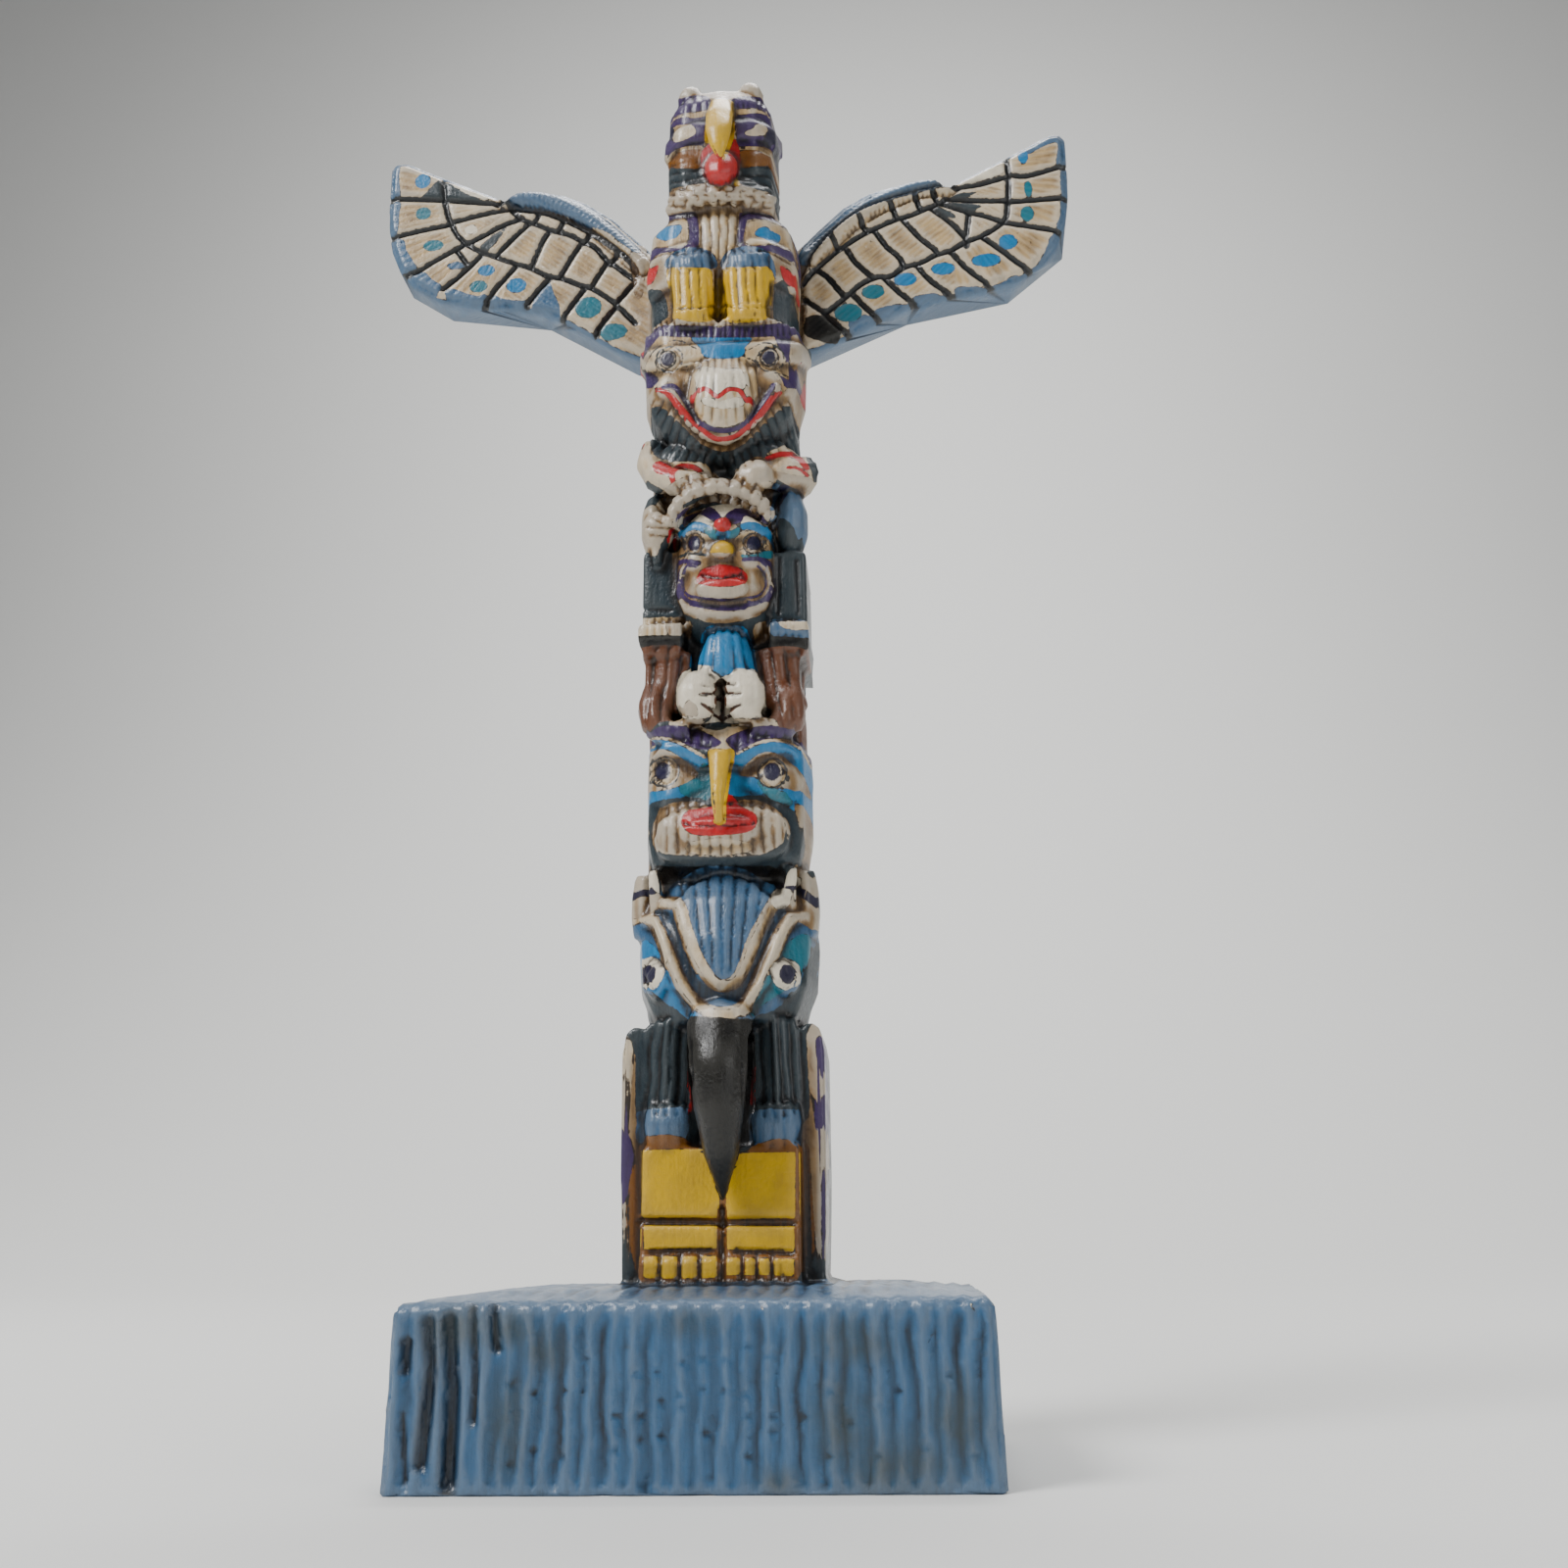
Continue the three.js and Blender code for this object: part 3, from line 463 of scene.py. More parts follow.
# The base's top edge
BASE_EDGE = 25
bird_feet = [
    [(245, 1180), (380, 1165), (530, 1180), (556, 1290), (552, 1480), (310, 1480), (265, 1330)],
    [(578, 1190), (700, 1165), (865, 1165), (905, 1250), (880, 1340), (855, 1480), (580, 1480)],
]
bird_knees = [
    [(236, 1165), (250, 1100), (330, 1050), (440, 1038), (525, 1080), (552, 1165), (400, 1170)],
    [
        (578, 1165), (600, 1080), (700, 1033), (830, 1045), (895, 1110), (915, 1240), (870, 1170),
        (720, 1165),
    ],
]
bird_brows = [
    [(252, 180), (330, 125), (420, 105), (505, 118), (500, 190), (400, 208), (330, 222), (255, 275)],
    [
        (640, 135), (700, 112), (790, 115), (870, 150), (908, 200), (906, 275), (850, 212), (760, 182),
        (668, 190),
    ],
]
bird_chest = [(430, 790), (700, 790), (692, 1040), (620, 1075), (572, 1120), (510, 1060), (430, 1040)]
ruff = [(250, 700), (430, 650), (560, 660), (700, 655), (900, 730), (930, 800), (700, 800), (240, 800)]
dark_cheeks = [
    [(232, 540), (460, 545), (480, 640), (430, 655), (250, 700), (232, 800)],
    [(695, 545), (920, 535), (932, 800), (900, 730), (705, 655)],
]
grin_band = [
    (46, 205), (90, 160), (520, 166), (990, 160), (1045, 215), (1035, 252), (750, 266), (410, 266),
    (60, 250),
]
muzzle = [
    (400, 420), (500, 392), (690, 392), (800, 440), (800, 560), (760, 720), (680, 800), (590, 818),
    (500, 800), (400, 700), (350, 560),
]
grin_chest = [
    (110, 690), (250, 660), (420, 830), (600, 960), (760, 830), (960, 660), (1120, 720), (1130, 900),
    (850, 1000), (600, 1120), (440, 1040), (140, 980),
]
fur_path = [(235, 1330), (300, 1240), (420, 1180), (560, 1165), (690, 1210), (800, 1265), (850, 1310)]
block_left = [(50, 1160), (365, 1155), (365, 1250), (55, 1255)]
block_right = [(840, 1165), (1112, 1170), (1112, 1270), (850, 1250)]
cone = [
    (480, 1220), (600, 1205), (735, 1220), (800, 1480), (690, 1470), (600, 1510), (490, 1450), (385, 1480),
]
fists = [
    [
        (300, 400), (330, 290), (430, 238), (505, 240), (520, 280), (578, 330), (575, 540), (480, 560),
        (360, 560), (310, 500),
    ],
    [
        (578, 330), (640, 285), (680, 255), (770, 270), (840, 340), (850, 440), (850, 545), (720, 560),
        (600, 560), (578, 530),
    ],
]
brown_arms = [
    [
        (92, 125), (380, 125), (385, 240), (330, 290), (298, 400), (312, 540), (330, 570), (190, 590),
        (105, 690), (66, 640), (70, 450), (85, 300),
    ],
    [
        (800, 140), (1105, 140), (1115, 400), (1125, 640), (1085, 700), (1000, 630), (900, 600), (860, 545),
        (850, 380), (800, 280),
    ],
]
long_brows = [
    [
        (108, 692), (180, 622), (270, 604), (400, 620), (560, 690), (572, 722), (490, 752), (405, 742),
        (300, 690), (190, 672),
    ],
    [
        (606, 692), (700, 640), (850, 604), (1000, 630), (1080, 700), (1096, 775), (1010, 705), (900, 682),
        (800, 704), (685, 765), (650, 750),
    ],
]
cheek_field = [
    (158, 1250), (200, 1135), (280, 1082), (430, 1075), (560, 1120), (690, 1062), (850, 1082), (940, 1150),
    (972, 1260), (925, 1350), (800, 1400), (560, 1412), (300, 1400), (200, 1370),
]
dome = [
    (440, 225), (560, 150), (700, 132), (850, 150), (950, 210), (1010, 290), (930, 440), (860, 610),
    (790, 760), (700, 832), (620, 760), (560, 620), (490, 420), (400, 290),
]
legs = [
    [(200, 80), (420, 190), (415, 545), (175, 550), (175, 300)],
    [(700, 190), (960, 90), (972, 545), (700, 550)],
]
cuffs = [
    [(160, 560), (400, 545), (415, 700), (300, 725), (150, 720), (148, 600)],
    [(705, 560), (930, 550), (950, 600), (945, 730), (720, 725), (700, 640)],
]
long_lips = [
    (332, 1205), (370, 1130), (530, 1100), (700, 1100), (790, 1150), (795, 1215), (740, 1262), (560, 1282),
    (400, 1275),
]
raven_feet = [(160, 745), (470, 740), (560, 1010), (690, 770), (945, 758), (935, 1400), (175, 1400)]


# %% Carve the pole
def carved(mesh):
    """How far each point of the mesh is pushed out, in millimetres."""
    drawing = Drawing(mesh)
    across, height = drawing.across, drawing.up
    push = np.zeros(len(across))
    uneven = ripple(across, height, 3) * 0.25
    front = drawing.y < FIGURES_TO

    def within(view, outline):
        return inside(drawing.within(seen(view, outline)))

    for feet in bird_feet:
        push += within("bird", feet) * row(across + uneven + 0.06 * (height - 190), 1.7, 0.34, 0.26)
    for knee in bird_knees:
        push += within("bird", knee) * row(across + uneven, 1.5, 0.3, 0.2)
    for brow in bird_brows:
        push += within("bird", brow) * row(across + 0.3 * np.abs(across) + uneven, 1.2, 0.25, 0.2)
    push += within("bird", bird_chest) * row(
        across + 0.02 * across * (206 - height) + uneven, 1.6, 0.3, 0.26
    )
    lumps = ripple(across * 5, height * 4, 8) * 0.35
    push += within("bird", ruff) * (lumps + row(across + ripple(across, height * 2, 5), 2.1, 0.4, 0.32))
    for cheek in dark_cheeks:
        push += within("bird", cheek) * row(height + 0.1 * np.abs(across) + uneven, 1.9, 0.3, 0.25)
    push += within("grin", grin_band) * row(across + uneven, 1.15, 0.26, 0.24)
    push += within("grin", muzzle) * fan(drawing, (0.8, 205), 2.6, 0.32, 0.22)
    slanted = across + 0.35 * np.sign(across) * (height - 160) + uneven
    push += within("grin", grin_chest) * row(slanted, 1.7, 0.3, 0.26)
    fur = inside(drawing.line(seen("grin", fur_path), 5.2))
    push += fur * (fan(drawing, (-0.5, 139), 8.5, 0.34, 0.34) + 0.2 * ripple(across * 6, height * 6, 9))
    for block in (block_left, block_right):
        push += within("small_face", block) * row(across, 1.2, 0.24, 0.22)
    push += within("small_face", cone) * fan(drawing, (0.6, 150), 3.6, 0.3, 0.24)
    for fist in fists:
        push += within("long_nose", fist) * row(across + uneven, 1.9, 0.3, 0.12)
    slanted = across + 0.12 * np.sign(across) * (height - 116) + uneven
    for arm in brown_arms:
        push += within("long_nose", arm) * row(slanted, 2.3, 0.4, 0.36)
    for brow in long_brows:
        push += within("long_nose", brow) * row(across + uneven, 1.5, 0.24, 0.2)
    off_lips = inside(-drawing.within(seen("long_nose", long_lips)))
    push += within("long_nose", cheek_field) * row(across + uneven, 1.7, 0.32, 0.24) * off_lips
    push += within("raven", dome) * fan(drawing, (0.2, 48), 3.4, 0.32, 0.24)
    splayed = across + uneven + 0.03 * across * (height - 50) * 0.2
    for leg in legs:
        push += within("feet", leg) * row(splayed, 1.6, 0.34, 0.34)
    for cuff in cuffs:
        push += within("feet", cuff) * row(across + uneven, 1.9, 0.3, 0.12)

    cuts = [
        ("long_nose", [(578, 330), (575, 540)], 0.4, 0.7),
        ("long_nose", [(455, 410), (690, 405)], 0.3, 0.6),
        ("long_nose", [(560, 345), (655, 345)], 0.3, 0.5),
        ("long_nose", [(455, 470), (560, 525)], 0.3, 0.5),
        ("long_nose", [(690, 480), (590, 525)], 0.3, 0.5),
        ("long_nose", [(470, 355), (555, 360)], 0.25, 0.35),
        ("bird", [(562, 1190), (560, 1480)], 0.5, 0.9),
        ("bird", [(305, 1410), (555, 1400)], 0.25, 0.35),
        ("bird", [(580, 1400), (870, 1405)], 0.25, 0.35),
        ("bird", [(480, 1440), (480, 1485)], 0.3, 0.6),
        ("bird", [(785, 1440), (785, 1485)], 0.3, 0.6),
        ("feet", [(175, 1107), (935, 1115)], 0.45, 0.8),
        ("feet", [(572, 1050), (570, 1400)], 0.5, 0.9),
        ("feet", [(215, 1262), (530, 1255)], 0.35, 0.5),
        ("feet", [(640, 1258), (920, 1265)], 0.35, 0.5),
        *[
            ("feet", [(high, 1290), (low, 1400)], 0.35, 0.8)
            for high, low in ((262, 258), (360, 356), (458, 456), (672, 670), (742, 745), (820, 822))
        ],
        ("small_face", [(460, 882), (560, 900), (700, 880)], 0.25, 0.4),
        ("small_face", [(935, 780), (930, 1120)], 0.3, 0.5),
        ("small_face", [(1040, 790), (1050, 1120)], 0.3, 0.5),
        ("small_face", [(90, 1095), (270, 1100)], 0.3, 0.4),
        ("long_nose", [(350, 1205), (560, 1225), (780, 1205)], 0.3, 0.45),
        ("grin", [(320, 420), (480, 400)], 0.25, 0.3),
        ("small_face", [(120, 590), (270, 600)], 0.25, 0.35),
        ("small_face", [(140, 640), (250, 650)], 0.25, 0.35),
    ]
    for view, path, half_width, depth in cuts:
        push += groove(np.maximum(0, -drawing.line(seen(view, path), 0.02)), half_width, depth) * front
    outlines = [
        ("grin", [(265, 330), (325, 400), (265, 475), (200, 400)]),
        ("grin", [(880, 325), (945, 395), (885, 465), (815, 400)]),
        ("long_nose", [(232, 812), (305, 885), (240, 965), (160, 890)]),
        ("long_nose", [(890, 808), (978, 890), (895, 985), (805, 895)]),
        ("small_face", [(415, 625), (465, 690), (415, 750), (366, 690)]),
        ("small_face", [(775, 625), (832, 690), (775, 752), (720, 690)]),
        ("raven", [(285, 708), (350, 790), (290, 905), (218, 800)]),
        ("raven", [(1085, 712), (1162, 800), (1095, 900), (1000, 790)]),
        ("bird", [(100, 980), (150, 880), (380, 825), (432, 850), (432, 1050), (200, 1085), (95, 1140)]),
        ("bird", [(690, 860), (790, 828), (990, 900), (1040, 1140), (860, 1060), (690, 1045)]),
    ]
    for view, outline in outlines:
        push += groove(np.abs(drawing.within(seen(view, outline))), 0.24, 0.26) * front
    return push * (drawing.z > BASE_EDGE)


# %% [markdown]
# ## Painting
#
# The painter works from the broad coats to the fine lines, and each coat hides what is under it.
# The mesh does the same: for every colour, each point keeps its distance inside that colour's
# edge, in millimetres, and a new coat takes its ground away from all the others. The material
# then finds a crisp edge between the points, where a colour kept at each point would be a blur.

# %% The paints, as numbers between 0 and 1 in the screen's own scale
PAINTS = {
    "slate": (0.145, 0.2, 0.23),
    "blue": (0.2, 0.36, 0.5),
    "sky": (0.08, 0.46, 0.67),
    "teal": (0.1, 0.43, 0.5),
    "cream": (0.8, 0.68, 0.49),
    "beige": (0.6, 0.48, 0.32),
    "white": (0.95, 0.91, 0.82),
    "yellow": (0.88, 0.7, 0.0),
    "amber": (0.5, 0.3, 0.02),
    "red": (0.72, 0.02, 0.07),
    "purple": (0.22, 0.14, 0.34),
    "navy": (0.05, 0.035, 0.2),
    "brown": (0.4, 0.22, 0.12),
    "black": (0.012, 0.012, 0.014),
}


SIDE_PULL = 0.8
POLE_HALF = 22
UNPAINTED = -9.0


class Paintwork:
    """All the coats on one mesh."""

    def __init__(self, mesh):
        self.drawing = Drawing(mesh)
        self.upward = normals_of(mesh)[:, 2]
        # A side face of the pole takes the paint that lies a little further in on the front
        sideways = np.clip((np.abs(normals_of(mesh)[:, 0]) - 0.6) / 0.3, 0, 1) * (self.drawing.z > 26)
        pull = np.sign(self.drawing.across) * SIDE_PULL * sideways
        self.drawing.across -= pull * (np.abs(self.drawing.across) < POLE_HALF)
        self.coats = {name: np.full(len(mesh.vertices), UNPAINTED) for name in PAINTS}

    def coat(self, paint, cover, back_to=FIGURES_TO):
        """Brush a paint over what is there. It goes round the sides as far as back_to."""
        cover = np.clip(np.minimum(cover, back_to - self.drawing.y), -MARGIN, MARGIN)
        for other in self.coats:
            if other != paint:
                self.coats[other] = np.minimum(self.coats[other], -cover)
        self.coats[paint] = np.maximum(self.coats[paint], cover)

    def area(self, paint, view, places, grow=0.0, **rest):
        """Fill an outline, grown by a few tenths of a millimetre where that is given."""
        self.coat(paint, self.drawing.within(seen(view, places)) + grow, **rest)

    def areas(self, view, coats):
        """Fill several outlines of one view, in the order that they are painted."""
        for paint, places in coats:
            self.area(paint, view, places)

    def each(self, paint, view, outlines):
        """Fill several outlines with one paint."""
        self.areas(view, [(paint, places) for places in outlines])

    def stripe(self, paint, view, places, width, **rest):
        """One brush line of an even width."""
        self.coat(paint, self.drawing.line(seen(view, places), width), **rest)

    def stripes(self, view, strokes):
        """Several brush lines of one view, each as its paint, width and path."""
        for paint, width, places in strokes:
            self.stripe(paint, view, places, width)

    def dab(self, paint, view, place, half_width, half_height, **rest):
        """An oval touch of the brush. Its half sizes are in millimetres."""
        self.coat(paint, self.drawing.spot(seen(view, [place])[0], half_width, half_height), **rest)


# %% Paint the top bird
# How far back the first coat goes round the head, in millimetres
HEAD_SIDES_TO = 9.5


def paint_top_bird(work):
    work.coat("beige", work.drawing.box(-13, 13, 209.5, 245), back_to=HEAD_SIDES_TO)
    work.area("beige", "bird", [
        (235, 640), (930, 640), (1060, 1100), (1080, 1320), (1010, 1500), (70, 1500), (60, 1300),
        (90, 1100),
    ])
    work.each("slate", "bird", dark_cheeks)
    work.area("beige", "bird", ruff)
    frames = [
        [(246, 280), (330, 235), (400, 240), (480, 235), (478, 385), (440, 425), (330, 432), (246, 470)],
        [(668, 235), (760, 215), (850, 225), (912, 270), (915, 450), (830, 420), (690, 420), (672, 330)],
    ]
    eyes = [
        [(296, 300), (340, 285), (395, 285), (420, 340), (310, 392), (290, 350)],
        [(722, 332), (770, 310), (800, 280), (842, 292), (852, 345), (750, 352)],
    ]
    under_brows = [
        [(252, 285), (335, 228), (400, 215), (492, 196), (490, 225), (420, 246), (340, 240), (256, 292)],
        [(665, 192), (760, 190), (850, 216), (905, 280), (850, 232), (780, 214), (700, 225), (668, 210)],
    ]
    work.each("purple", "bird", frames)
    work.each("cream", "bird", eyes)
    work.dab("navy", "bird", (272, 335), 0.9, 1.7)
    work.dab("navy", "bird", (868, 370), 0.9, 2.0)
    for brow, under in zip(bird_brows, under_brows):
        work.areas("bird", [("purple", brow), ("cream", under)])
    work.areas("bird", [
        ("amber", [(262, 540), (300, 470), (370, 440), (452, 440), (456, 545), (360, 552)]),
        ("amber", [(700, 440), (800, 445), (870, 480), (895, 545), (800, 540), (700, 545)]),
    ])
    work.stripes("bird", [
        ("cream", 0.9, [(250, 515), (290, 460), (370, 428), (448, 425)]),
        ("cream", 0.8, [(700, 430), (800, 432), (865, 470), (895, 520)]),
    ])
    work.areas("bird", [
        ("red", [
            (512, 395), (458, 460), (455, 560), (500, 640), (570, 662), (645, 640), (692, 560), (690, 440),
            (655, 370), (580, 400),
        ]),
        ("yellow", [
            (525, 135), (498, 200), (478, 300), (478, 395), (520, 402), (560, 470), (600, 502), (630, 440),
            (655, 370), (662, 300), (652, 150), (590, 128),
        ]),
        ("yellow", [(650, 600), (690, 640), (692, 665), (655, 655)]),
        ("cream", bird_chest),
    ])
    patches = [
        [
            (92, 1010), (110, 920), (160, 875), (240, 850), (375, 822), (432, 845), (434, 1050),
            (340, 1055), (200, 1082), (130, 1142), (94, 1142),
        ],
        [
            (688, 870), (698, 828), (790, 826), (900, 852), (990, 902), (1030, 980), (1046, 1142),
            (960, 1100), (860, 1060), (688, 1045),
        ],
    ]
    panes = [
        [(120, 975), (160, 905), (260, 882), (366, 868), (366, 1018), (240, 1038), (132, 1035)],
        [
            (742, 876), (830, 870), (920, 895), (982, 935), (1002, 1000), (1000, 1058), (900, 1022),
            (728, 1020),
        ],
    ]
    dabs = [
        [(178, 972), (198, 930), (270, 905), (342, 903), (330, 940), (295, 985), (220, 997)],
        [(795, 930), (850, 912), (900, 945), (942, 970), (930, 1010), (890, 1014), (842, 988), (788, 965)],
    ]
    for patch, pane, blue in zip(patches, panes, dabs):
        work.areas("bird", [("purple", patch), ("cream", pane), ("sky", blue)])
        work.stripe("beige", "bird", pane + pane[:1], 0.3)
    work.areas("bird", [
        ("red", [(108, 1205), (150, 1170), (195, 1150), (178, 1215), (150, 1268), (114, 1252)]),
        ("red", [(942, 1150), (1000, 1185), (1020, 1240), (1018, 1282), (970, 1255), (945, 1200)]),
        ("slate", [(82, 1325), (215, 1310), (245, 1480), (82, 1480)]),
        ("slate", [(905, 1280), (960, 1250), (1005, 1330), (1010, 1480), (900, 1480)]),
    ])
    work.each("blue", "bird", bird_knees)
    work.each("yellow", "bird", bird_feet)


# %% Paint the grinning face
def paint_grin(work):
    work.area("beige", "grin", [
        (60, 250), (1040, 250), (1085, 480), (1060, 700), (960, 690), (900, 740), (590, 960), (340, 800),
        (230, 690), (90, 700), (70, 450),
    ])
    work.area(
        "cream", "grin", [(200, 262), (940, 262), (960, 520), (900, 600), (240, 600), (190, 450)], grow=0.2
    )
    work.areas("grin", [
        ("beige", [(240, 560), (330, 400), (420, 370), (420, 700), (330, 640)]),
        ("beige", [(930, 560), (830, 400), (760, 380), (780, 700), (850, 640)]),
    ])
    for socket in (
        [(112, 480), (135, 400), (190, 330), (300, 285), (400, 325), (485, 395), (330, 455), (230, 482)],
        [(705, 380), (790, 320), (860, 300), (930, 330), (1000, 440), (1005, 510), (900, 480), (820, 430)],
    ):
        work.area("cream", "grin", socket)
        work.stripe("slate", "grin", socket + socket[:1], 0.28)
    work.areas("grin", [
        ("cream", muzzle),
        ("purple", [(62, 215), (200, 240), (165, 300), (110, 380), (90, 500), (66, 470), (60, 330)]),
        ("red", [(76, 340), (104, 330), (100, 430), (82, 450)]),
        ("purple", [(86, 500), (140, 482), (200, 520), (180, 568), (120, 580), (86, 545)]),
        ("purple", [
            (905, 250), (1000, 250), (1000, 320), (990, 420), (1030, 510), (1030, 580), (960, 570),
            (920, 500), (985, 530), (975, 420),
        ]),
    ])
    work.stripe("red", "grin", [(1062, 420), (1055, 500), (1040, 580)], 0.7)
    work.area("sky", "grin", [(408, 262), (752, 262), (725, 330), (688, 392), (490, 392), (445, 330)])
    for centre, pupil in (((262, 402), (248, 402)), ((880, 398), (872, 390))):
        work.dab("slate", "grin", centre, 2.45, 2.7)
        work.dab("cream", "grin", centre, 2.15, 2.4)
        work.dab("slate", "grin", pupil, 1.65, 1.9)
        work.dab("beige", "grin", pupil, 1.4, 1.65)
        work.dab("navy", "grin", pupil, 1.15, 1.4)
    work.areas("grin", [
        ("white", [
            (430, 470), (520, 450), (600, 460), (690, 460), (730, 520), (715, 590), (620, 570), (560, 620),
            (480, 575), (430, 620),
        ]),
        ("white", [
            (460, 640), (520, 640), (560, 665), (640, 640), (700, 640), (700, 690), (580, 705), (470, 680),
        ]),
    ])
    work.stripes("grin", [
        ("beige", 1.5, [
            (190, 600), (250, 680), (350, 785), (480, 905), (590, 945), (700, 905), (850, 745), (945, 625),
        ]),
        ("red", 1.0, [
            (205, 590), (265, 625), (340, 712), (420, 800), (520, 880), (590, 893), (680, 868), (765, 785),
            (850, 690), (912, 615),
        ]),
        ("purple", 0.95, [
            (225, 572), (290, 570), (365, 668), (430, 770), (500, 822), (600, 842), (700, 812), (785, 725),
            (850, 640), (900, 560),
        ]),
        ("red", 0.85, [
            (400, 690), (415, 625), (475, 582), (525, 612), (560, 632), (620, 588), (690, 594), (725, 645),
            (772, 682),
        ]),
    ])
    work.areas("grin", [("purple", grin_band), ("cream", [(480, 172), (605, 172), (570, 208)])])


# %% Paint the chest, the reaching arms and the fringe
def paint_reaching_body(work):
    work.areas("grin", [
        ("slate", grin_chest),
        ("cream", [
            (105, 845), (70, 940), (66, 1050), (130, 1150), (250, 1212), (300, 1200), (400, 1160),
            (570, 1140), (540, 1072), (440, 1035), (250, 1028), (160, 985), (132, 880),
        ]),
    ])
    work.stripe("red", "grin", [(90, 900), (80, 940)], 0.7)
    work.area("red", "grin", [(155, 1055), (195, 1028), (262, 1050), (275, 1095), (230, 1112), (175, 1100)])
    work.stripe(
        "red", "grin", [(292, 1175), (275, 1110), (318, 1065), (395, 1062), (448, 1092), (440, 1120)], 1.0
    )
    work.areas("grin", [
        ("beige", [
            (655, 1100), (740, 1030), (810, 1000), (880, 1040), (915, 1110), (900, 1200), (850, 1260),
            (760, 1230), (680, 1190),
        ]),
        ("cream", [
            (848, 1005), (930, 945), (1015, 928), (1080, 975), (1130, 1090), (1152, 1225), (1000, 1180),
            (915, 1120),
        ]),
        ("beige", [(905, 1090), (1000, 1110), (1140, 1140), (1152, 1225), (1000, 1180), (930, 1140)]),
    ])
    work.stripes("grin", [
        ("red", 1.05, [(868, 1012), (950, 985), (1040, 1000), (1105, 1070)]),
        ("red", 0.6, [(988, 1068), (1050, 1072), (1110, 1118)]),
    ])
    work.stripe("beige", "grin", fur_path, 4.6)
    work.areas("grin", [
        ("cream", [(820, 1160), (870, 1165), (850, 1240), (805, 1240)]),
        ("beige", [
            (75, 1370), (110, 1310), (190, 1290), (265, 1330), (272, 1440), (220, 1520), (180, 1568),
            (130, 1540), (90, 1460),
        ]),
    ])
    work.area("beige", "small_face", [(130, 690), (200, 690), (185, 760), (150, 765)])
    work.area(
        "blue", "small_face",
        [(880, 340), (960, 330), (1060, 400), (1100, 560), (1090, 720), (960, 740), (880, 640)], grow=-0.2
    )
    work.areas("small_face", [
        ("navy", [(900, 400), (950, 330), (1000, 350), (950, 440), (900, 500)]),
        ("slate", [(900, 560), (1000, 560), (1060, 740), (900, 745)]),
    ])


# %% Paint the small face
def paint_small_face(work):
    face = [
        (290, 540), (400, 450), (590, 425), (780, 460), (880, 560), (905, 760), (880, 1000), (800, 1130),
        (640, 1180), (500, 1175), (360, 1110), (295, 960), (280, 760),
    ]
    work.areas("small_face", [
        ("beige", face),
        ("white", [
            (430, 435), (590, 425), (745, 440), (680, 480), (605, 520), (590, 560), (560, 515), (500, 465),
        ]),
        ("white", [(330, 560), (380, 520), (470, 515), (545, 560), (500, 575), (400, 560), (335, 600)]),
        ("white", [(700, 570), (720, 520), (800, 545), (870, 620), (890, 720), (860, 640), (790, 565)]),
        ("beige", [(350, 790), (590, 790), (830, 800), (840, 1000), (720, 1045), (480, 1040), (350, 960)]),
    ])
    brows = [
        [
            (288, 560), (340, 490), (430, 458), (520, 470), (582, 535), (545, 562), (470, 520), (400, 500),
            (330, 545),
        ],
        [
            (606, 515), (680, 475), (760, 490), (835, 530), (880, 590), (800, 548), (725, 520), (700, 560),
            (650, 570),
        ],
    ]
    work.each("purple", "small_face", brows)
    work.areas("small_face", [
        ("sky", [
            (305, 690), (335, 600), (400, 556), (480, 566), (540, 610), (500, 640), (420, 606), (362, 640),
            (335, 720),
        ]),
        ("sky", [
            (640, 635), (700, 570), (790, 558), (860, 620), (888, 740), (858, 700), (805, 625), (720, 606),
            (665, 650),
        ]),
        ("teal", [(470, 590), (545, 610), (635, 610), (700, 585), (660, 660), (520, 665)]),
        ("sky", [(545, 615), (635, 615), (615, 668), (565, 668)]),
        ("teal", [(700, 760), (800, 745), (885, 735), (885, 785), (720, 782)]),
    ])
    work.stripe("slate", "small_face", [(330, 775), (400, 755), (485, 762)], 0.5)
    for socket, pupil, half in (
        (
            [(355, 700), (375, 640), (430, 615), (490, 640), (525, 690), (450, 745), (380, 750)],
            (415, 690), (0.95, 1.4)
        ),
        (
            [(655, 680), (700, 630), (770, 612), (830, 650), (845, 710), (780, 755), (700, 750)],
            (775, 690), (1.1, 1.25)
        ),
    ):
        work.area("cream", "small_face", socket)
        work.dab("slate", "small_face", pupil, half[0] + 0.75, half[1] + 0.75)
        work.dab("beige", "small_face", pupil, half[0] + 0.5, half[1] + 0.5)
        work.dab("navy", "small_face", pupil, *half)
    work.areas("small_face", [
        ("yellow", [
            (522, 710), (545, 680), (590, 670), (640, 685), (664, 720), (655, 752), (590, 750), (530, 745),
        ]),
        ("red", [
            (428, 905), (470, 845), (590, 820), (700, 845), (742, 910), (690, 948), (560, 958), (445, 940),
        ]),
    ])
    outer = [
        (440, 812), (365, 800), (305, 850), (318, 960), (365, 1035), (470, 1072), (600, 1085), (740, 1070),
        (850, 1030), (895, 940), (870, 840), (800, 790), (720, 790),
    ]
    inner = [
        (425, 835), (380, 830), (345, 880), (350, 960), (395, 1012), (480, 1030), (600, 1040), (720, 1030),
        (810, 1005), (850, 940), (835, 870), (790, 830),
    ]
    work.stripes("small_face", [
        ("purple", 0.85, outer),
        ("purple", 0.5, inner),
        ("purple", 0.9, [(400, 1062), (500, 1080), (600, 1092), (720, 1085)]),
        ("red", 0.7, [(282, 600), (274, 680)]),
    ])
    work.dab("red", "small_face", (590, 575), 1.4, 1.35)


